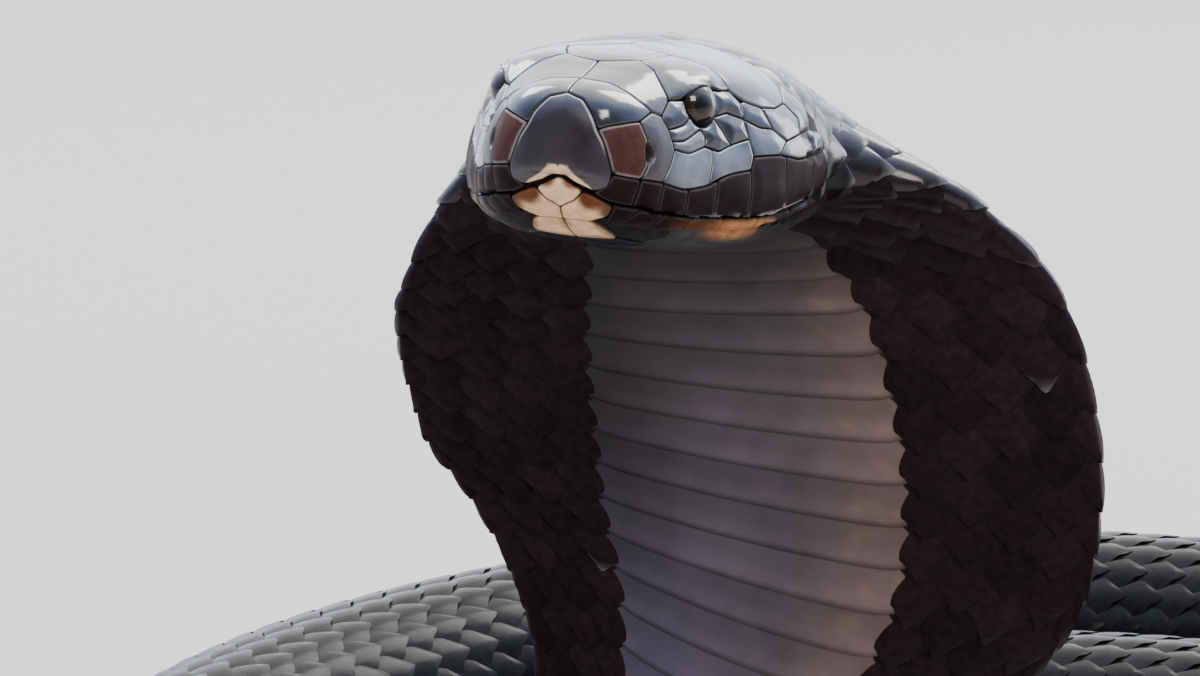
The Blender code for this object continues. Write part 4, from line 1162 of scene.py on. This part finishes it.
def scale_tints(seed):
    """A function for the colours and polish of scales, each with its own random shade."""
    random = np.random.default_rng(seed)

    def colours(s, w, s0, t):
        tint = flank_colour(s, w) * random.uniform(0.75, 1.3, (len(s), 1, 1))
        hood = hood_share(s)
        # Painted highlights: pale tips on the nape's scales and on a few scattered hood scales
        nape = fade(s0, *NAPE) * fade(np.abs(w[:, :1]), 0.5, 0.6)
        tip_glint = (random.uniform(0, 1, (len(s), 1)) > 0.985) * 0.25 * ease(t, 0.8, 1) * (hood > 0.5)
        tint = mixed(tint, PAINTED_RIM_HIGHLIGHT, np.maximum(nape * ease(t, 0.8, 1.0) * 0.3, tip_glint))
        from_corner = np.hypot((s - 19.5) / 6.5, (w - 0.715) / 0.045)
        tint = mixed(tint, AMBER, 0.7 * fade(from_corner, 0.3, 1.0))
        # The hood is dull except along its rim, and so is the throat
        rim = np.exp(-(((np.abs(w) - 0.5) / 0.045) ** 2)) * hood
        dull = ease(s, 50, 84) * fade(s, 125, 200) * (1 - rim)
        polish = (1 - 0.75 * dull) * (1 - 0.8 * ease(np.abs(w), 0.6, 0.68) * fade(s, 40, 60))
        return np.concatenate([tint, polish[..., None]], axis=-1)

    return colours


def scute_tints(seed):
    """A function for the colours and polish of scutes, each with its own random shade."""
    random = np.random.default_rng(seed)

    def colours(s, inner, s0, t):
        tint = belly_colour(s, inner) * random.uniform(0.88, 1.12, (len(s), 1, 1))
        # Painted highlight across each scute's rear half and painted shadow at its turned-down rear edge
        tint = tint * (1 + 0.35 * ease(t, 0.45, 0.8) - 0.85 * ease(t, 0.9, 1.0))[..., None]
        return np.concatenate([tint, np.full((*s.shape, 1), 0.6)], axis=-1)

    return colours


def nodes_of(name):
    """A new material, its tree and its shader."""
    made = bpy.data.materials.new(name)
    made.use_nodes = True
    return made, made.node_tree, made.node_tree.nodes["Principled BSDF"]


def feed(tree, node, inputs):
    """Link each input, by name or number, to the socket given, or set it to the value given."""
    for name, value in inputs.items():
        if isinstance(value, bpy.types.NodeSocket):
            tree.links.new(value, node.inputs[name])
        else:
            node.inputs[name].default_value = value


def add_node(tree, kind, inputs, **settings):
    """A new node with these settings, and its inputs linked to a socket or set to a value."""
    made = tree.nodes.new("ShaderNode" + kind)
    for name, value in settings.items():
        setattr(made, name, value)
    feed(tree, made, inputs)
    return made


def fill_ramp(node, stops):
    """Give a colour ramp its stops."""
    ramp = node.color_ramp
    for element, (at, colour) in zip(ramp.elements, (stops[0], stops[-1])):
        element.position, element.color = at, (*colour, 1)
    for at, colour in stops[1:-1]:
        ramp.elements.new(at).color = (*colour, 1)


def noise(tree, scale, detail=3.0):
    """Noise in the object's own space, with its value as output."""
    place = add_node(tree, "TexCoord", {}).outputs["Object"]
    made = add_node(tree, "TexNoise", {"Scale": scale, "Detail": detail, "Vector": place})
    return made.outputs["Fac"]


def ranged(tree, value, low, high, start=0.3, end=0.7):
    """The value's range from start to end, turned into low to high."""
    limits = {"From Min": start, "From Max": end, "To Min": low, "To Max": high}
    return add_node(tree, "MapRange", {"Value": value, **limits}).outputs["Result"]


def scaly(name, dull, polished, gloss, bump, grain, mottle=0.3):
    """Horn over dark pigment: each scale's own tint, mottled, and as polished as its tint says.

    dull and polished are the roughness at either end, and grain is the noise's scale.
    """
    made, tree, shader = nodes_of(name)
    tint = add_node(tree, "Attribute", {}, attribute_name="tint")
    mottling = ranged(tree, noise(tree, grain), 1 - mottle, 1 + mottle)
    shade = {"Vector": tint.outputs["Color"], "Scale": mottling}
    even = ranged(tree, tint.outputs["Alpha"], dull, polished, 0.0, 1.0)
    wear = ranged(tree, noise(tree, grain * 0.4, 4), 0.75, 1.35)
    raised = {"Strength": bump, "Distance": BUMP_DEPTH, "Height": noise(tree, grain * 3, 4)}
    feed(tree, shader, {
        "Base Color": add_node(tree, "VectorMath", shade, operation="SCALE").outputs["Vector"],
        "Roughness": add_node(tree, "Math", {0: even, 1: wear}, operation="MULTIPLY").outputs["Value"],
        "Specular IOR Level": gloss,
        "Normal": add_node(tree, "Bump", raised).outputs["Normal"],
    })
    return made


def eye_material():
    """A dark bronze iris round a black pupil under clear horn. The eye looks along its own Z."""
    made, tree, shader = nodes_of("eye")
    place = add_node(tree, "TexCoord", {}).outputs["Object"]
    split = add_node(tree, "SeparateXYZ", {"Vector": place})
    x, y = split.outputs["X"], split.outputs["Y"]
    turn = add_node(tree, "Math", {0: y, 1: x}, operation="ARCTAN2").outputs["Value"]
    flat = add_node(tree, "CombineXYZ", {"X": x, "Y": y}).outputs["Vector"]
    away = add_node(tree, "VectorMath", {"Vector": flat}, operation="LENGTH").outputs["Value"]
    reach = ranged(tree, away, 0.0, 1.0, 0.0, IRIS_REACH)
    rays = {"Scale": 9.0, "Detail": 4.0, "W": turn}
    rays = add_node(tree, "TexNoise", rays, noise_dimensions="1D").outputs["Fac"]
    colours = add_node(tree, "ValToRGB", {"Fac": reach})
    fill_ramp(colours, IRIS)
    shade = {"Vector": colours.outputs["Color"], "Scale": ranged(tree, rays, 0.45, 1.6)}
    feed(tree, shader, {
        "Base Color": add_node(tree, "VectorMath", shade, operation="SCALE").outputs["Vector"],
        "Roughness": 0.4, "Specular IOR Level": 0.05, "Coat Weight": 1.0, "Coat Roughness": 0.03,
    })
    return made


def eyeball():
    """An eyeball's points and faces. It looks along Z, and its front stands out a little."""
    polar, turn = np.meshgrid(
        np.linspace(0, math.pi, EYE_RINGS)[1:-1], np.arange(EYE_TURNS) * 2 * math.pi / EYE_TURNS,
        indexing="ij",
    )
    radius = EYE_RADIUS * (1 + CORNEA * fade(polar, 0.0, 0.9))
    x, y, z = np.sin(polar) * np.cos(turn), np.sin(polar) * np.sin(turn), np.cos(polar)
    ball = (np.stack([x, y, z], -1) * radius[..., None]).reshape(-1, 3)
    points = np.concatenate([ball, [(0, 0, EYE_RADIUS * (1 + CORNEA)), (0, 0, -EYE_RADIUS)]])
    points = points * (1, 1, EYE_FLATTEN) - (0, 0, EYE_BACK)
    return points, tube_faces(EYE_RINGS - 2, EYE_TURNS)[:, ::-1]


def add_eyes(finish):
    """The two eyes, in place of the solids' balls."""
    points, faces = eyeball()
    for side, name in ((1, "eye_left"), (-1, "eye_right")):
        mesh = bpy.data.meshes.new(name + "_globe")
        mesh.from_pydata((points * MM).tolist(), [], faces.tolist())
        mesh.shade_smooth()
        mesh.materials.append(finish)
        eye = placed(name + "_globe", mesh)
        eye.location = eye_place(side) * MM + SHIFT
        eye.rotation_mode = "QUATERNION"
        eye.rotation_quaternion = Vector(eye_axis(side)).to_track_quat("Z", "Y")
        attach(eye, "root")
        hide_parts(name)


def skin_spots(s, w, faces):
    """Texture places for the corners of the skin's faces, which may lie across the belly's midline."""
    s, w = s[faces], w[faces]
    crossing = (w.max(axis=1) - w.min(axis=1) > 1)[:, None] & (w < -0.5)
    return unwrapped(s.ravel(), np.where(crossing, w + 2, w).ravel(), 0, LENGTH)


def add_skin(finish):
    """One smooth skin from the snout to the tail tip, in place of the solids' flesh."""
    s, w = np.meshgrid(SKIN_RINGS, -1 + 2 * np.arange(SKIN_COLUMNS) / SKIN_COLUMNS, indexing="ij")
    # Behind the head the points are spread evenly round the body
    even = ease(s, 48, 62)
    w = w * (1 - even) + np.where(s < 60, w, round_at(s, w)) * even
    points = above(s, w, -sunk(skin(s, w), s, w), FLOOR_MARGIN).reshape(-1, 3)
    ends = np.stack([skin(0.0, 0.0), spine(np.array([LENGTH]))[0][0]])
    faces = tube_faces(len(SKIN_RINGS), SKIN_COLUMNS)
    s, w = np.append(s, [0, LENGTH]), np.append(w, [0, 0])
    inner = np.where(w > 0, 1 - w, -1 - w)
    on_belly = (np.abs(inner) < smooth(s, SCUTE_STATIONS, SCUTE_SPAN)) & (s > SCUTES_START)
    tint = np.where(on_belly[:, None], belly_colour(s, inner), flank_colour(s, w)) * SKIN_SHADE
    piece = build(
        "skin", np.concatenate([points, ends]), faces, finish, "body_scales", skin_spots(s, w, faces),
        np.concatenate([tint, np.zeros((len(tint), 1))], axis=1),
    )
    coils = ["coil_%d" % i for i in range(1, 10)]
    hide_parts("head", "hood", "neck", "tail_base", "tail_tip", *coils)


def add_shields(finish, dull_finish):
    """The head's shields: the shiny ones in one piece, the duller snout, lips and chin in another."""
    random = np.random.default_rng(SHIELD_SEED)
    shiny, dull = [], []
    openings = {"supraocular": EYE_OPENING - BROW_OVERHANG, "prefrontal": EYE_OPENING}
    for name, outline in head_outlines():
        beside_eye = name.startswith(ROUND_EYE + ("cheek",))
        opening = EYE_OPENING if beside_eye else openings.get(name)
        place, faces, s, w, depth = shield(name, outline, opening)
        spots = np.stack(chart_of(s, w), -1) / CHART_SIZE + 0.5
        made = place, faces, spots, shield_tints(name, s, w, depth, random)
        (dull if POLISH.get(name, 1.0) < DULL else shiny).append(made)
    for name, pieces, horn in (("head_shields", shiny, finish), ("lip_shields", dull, dull_finish)):
        points, faces, spots, tints = zip(*pieces)
        first = np.cumsum([0] + [len(p) for p in points[:-1]])
        faces = np.concatenate([order + k for order, k in zip(faces, first)])
        points, spots, tints = (np.concatenate(parts) for parts in (points, spots, tints))
        build(name, points, faces, horn, "head_shields", spots, tints)


def bare_lattice():
    """The scales that no head shield covers, with how deep each lies."""
    lattice = scale_lattice()
    outlines = [np.array([chart_of(*p) for p in outline]) for _, outline in head_outlines()]
    w0 = round_at(lattice[:, 0], lattice[:, 1])
    near = lattice[:, 0] < NEAR_SHIELDS
    covered = np.zeros((2, len(lattice)), bool)
    for row, shift in zip(covered, (SCALE_ROOT_AT, SCALE_BODY_AT)):
        flat = np.stack(chart_of(lattice[:, 0] + shift * lattice[:, 2], w0), -1)
        for outline in outlines:
            row[near] |= within(flat[near], outline)
    return np.concatenate([lattice, covered[0][:, None] * TUCK], axis=1)[~covered[1]]


def add_scales(near_finishes, finish, scute_finish):
    """The scales of the back and sides, region by region, then the belly's scutes."""
    lattice = bare_lattice()
    s0 = lattice[:, 0]
    w0 = np.abs(round_at(s0, lattice[:, 1]))
    # The head's polished scales thin out over the nape and stop below the jaw
    share = fade(s0, *NAPE) * (1 - ease(w0, 0.46, 0.56) * ease(s0, 40, 48))
    on_head = share > np.random.default_rng(NAPE_SEED).uniform(0.02, 0.98, len(s0))
    for k, (name, start, end) in enumerate(REGIONS):
        these = (s0 >= start) & (s0 < end)
        if end <= HOOD_END:
            these &= on_head == (name == "head")
        horn = near_finishes.get(name, finish)
        lay_scales("scales_" + name, lattice[these], start, end, horn, scale_tints(SCALE_SEED + k))
    run = scute_run(SCUTES_START, TAIL_START)
    for name, low, high in SCUTE_REGIONS:
        these = run[(run[:, 0] >= low) & (run[:, 0] < high)]
        lay_scutes("scutes_" + name, these, low, high, scute_finish, scute_tints(SCUTE_SEED + low))
    run = scute_run(TAIL_START, LENGTH - 5)
    halves = (-1, -0.01), (0.01, 1)
    tints = scute_tints(TAIL_SEED)
    lay_scutes("scutes_tail", run, TAIL_START, LENGTH, scute_finish, tints, halves)


def add_camera():
    """The photograph's own view: the point between the eyes falls on its pixel."""
    eyes = np.array((0.0, 0.0, EYE_HEIGHT)) * MM + SHIFT
    look = np.array((0, math.cos(VIEW_DOWN), -math.sin(VIEW_DOWN)))
    data = bpy.data.cameras.new("camera")
    data.sensor_width = SENSOR_WIDTH
    data.lens = FOCAL_PIXELS / PHOTO_WIDTH * SENSOR_WIDTH
    data.clip_start = 0.01
    camera = placed("camera", data)
    camera.location = eyes - look * CAMERA_DISTANCE * MM
    down = VIEW_DOWN + math.atan((PHOTO_HEIGHT / 2 - EYES_PIXEL[1]) / FOCAL_PIXELS)
    turn = math.atan((EYES_PIXEL[0] - PHOTO_WIDTH / 2) / FOCAL_PIXELS)
    camera.rotation_euler = (math.pi / 2 - down, 0, turn)
    bpy.context.scene.camera = camera


def add_floor():
    """A plain pale floor."""
    made, tree, shader = nodes_of("pale floor")
    feed(tree, shader, {"Base Color": (*FLOOR_COLOUR, 1), "Roughness": 0.75})
    mesh = bpy.data.meshes.new("floor")
    corners = [(x * FLOOR_REACH, y * FLOOR_REACH, 0) for x, y in ((-1, -1), (1, -1), (1, 1), (-1, 1))]
    mesh.from_pydata(corners, [], [(0, 1, 2, 3)])
    mesh.materials.append(made)
    placed("floor", mesh)


def add_light(name, place, size, power, colour):
    """A rectangular light at this place from the head, turned towards it."""
    data = bpy.data.lights.new(name, "AREA")
    data.shape = "RECTANGLE"
    data.size, data.size_y = size
    data.energy = power
    data.color = colour
    head = SHIFT + np.array(LIT_PLACE)
    light = placed(name, data)
    light.location = head + place
    light.rotation_mode = "QUATERNION"
    light.rotation_quaternion = (Vector(head) - Vector(head + place)).to_track_quat("-Z", "Y")


def add_studio():
    """A soft studio, brightest high behind the animal, with its four lights."""
    world = bpy.data.worlds.new("studio")
    world.use_nodes = True
    tree = world.node_tree
    place = add_node(tree, "TexCoord", {}).outputs["Generated"]
    towards = {0: place, 1: unit(np.array(BRIGHTEST))}
    towards = add_node(tree, "VectorMath", towards, operation="DOT_PRODUCT").outputs["Value"]
    shade = add_node(tree, "ValToRGB", {"Fac": ranged(tree, towards, 0.0, 1.0, -1.0, 1.0)})
    fill_ramp(shade, STUDIO)
    sky = {"Color": shade.outputs["Color"], "Strength": STUDIO_STRENGTH}
    feed(tree, tree.nodes["Background"], sky)
    bpy.context.scene.world = world
    for name, facts in LIGHTS.items():
        add_light(name, *facts)


def main():
    """Dress the solids, and set the floor, the lights and the camera."""
    glossy = scaly("horn", dull=0.62, polished=0.22, gloss=0.06, bump=0.06, grain=900)
    satin = scaly("belly horn", dull=0.65, polished=0.3, gloss=0.25, bump=0.03, grain=260, mottle=0.12)
    crown = scaly("head horn", dull=0.6, polished=0.12, gloss=0.85, bump=0.04, grain=700, mottle=0.2)
    nape = scaly("nape horn", dull=0.6, polished=0.16, gloss=0.38, bump=0.06, grain=900)
    lips = scaly("lip horn", dull=0.6, polished=0.2, gloss=0.06, bump=0.06, grain=700, mottle=0.2)
    soft = scaly("skin between scales", dull=0.7, polished=0.5, gloss=0.2, bump=0.1, grain=1500)
    add_skin(soft)
    add_shields(crown, lips)
    add_scales({"head": nape}, glossy, satin)
    add_eyes(eye_material())
    add_floor()
    add_studio()
    add_camera()


main()
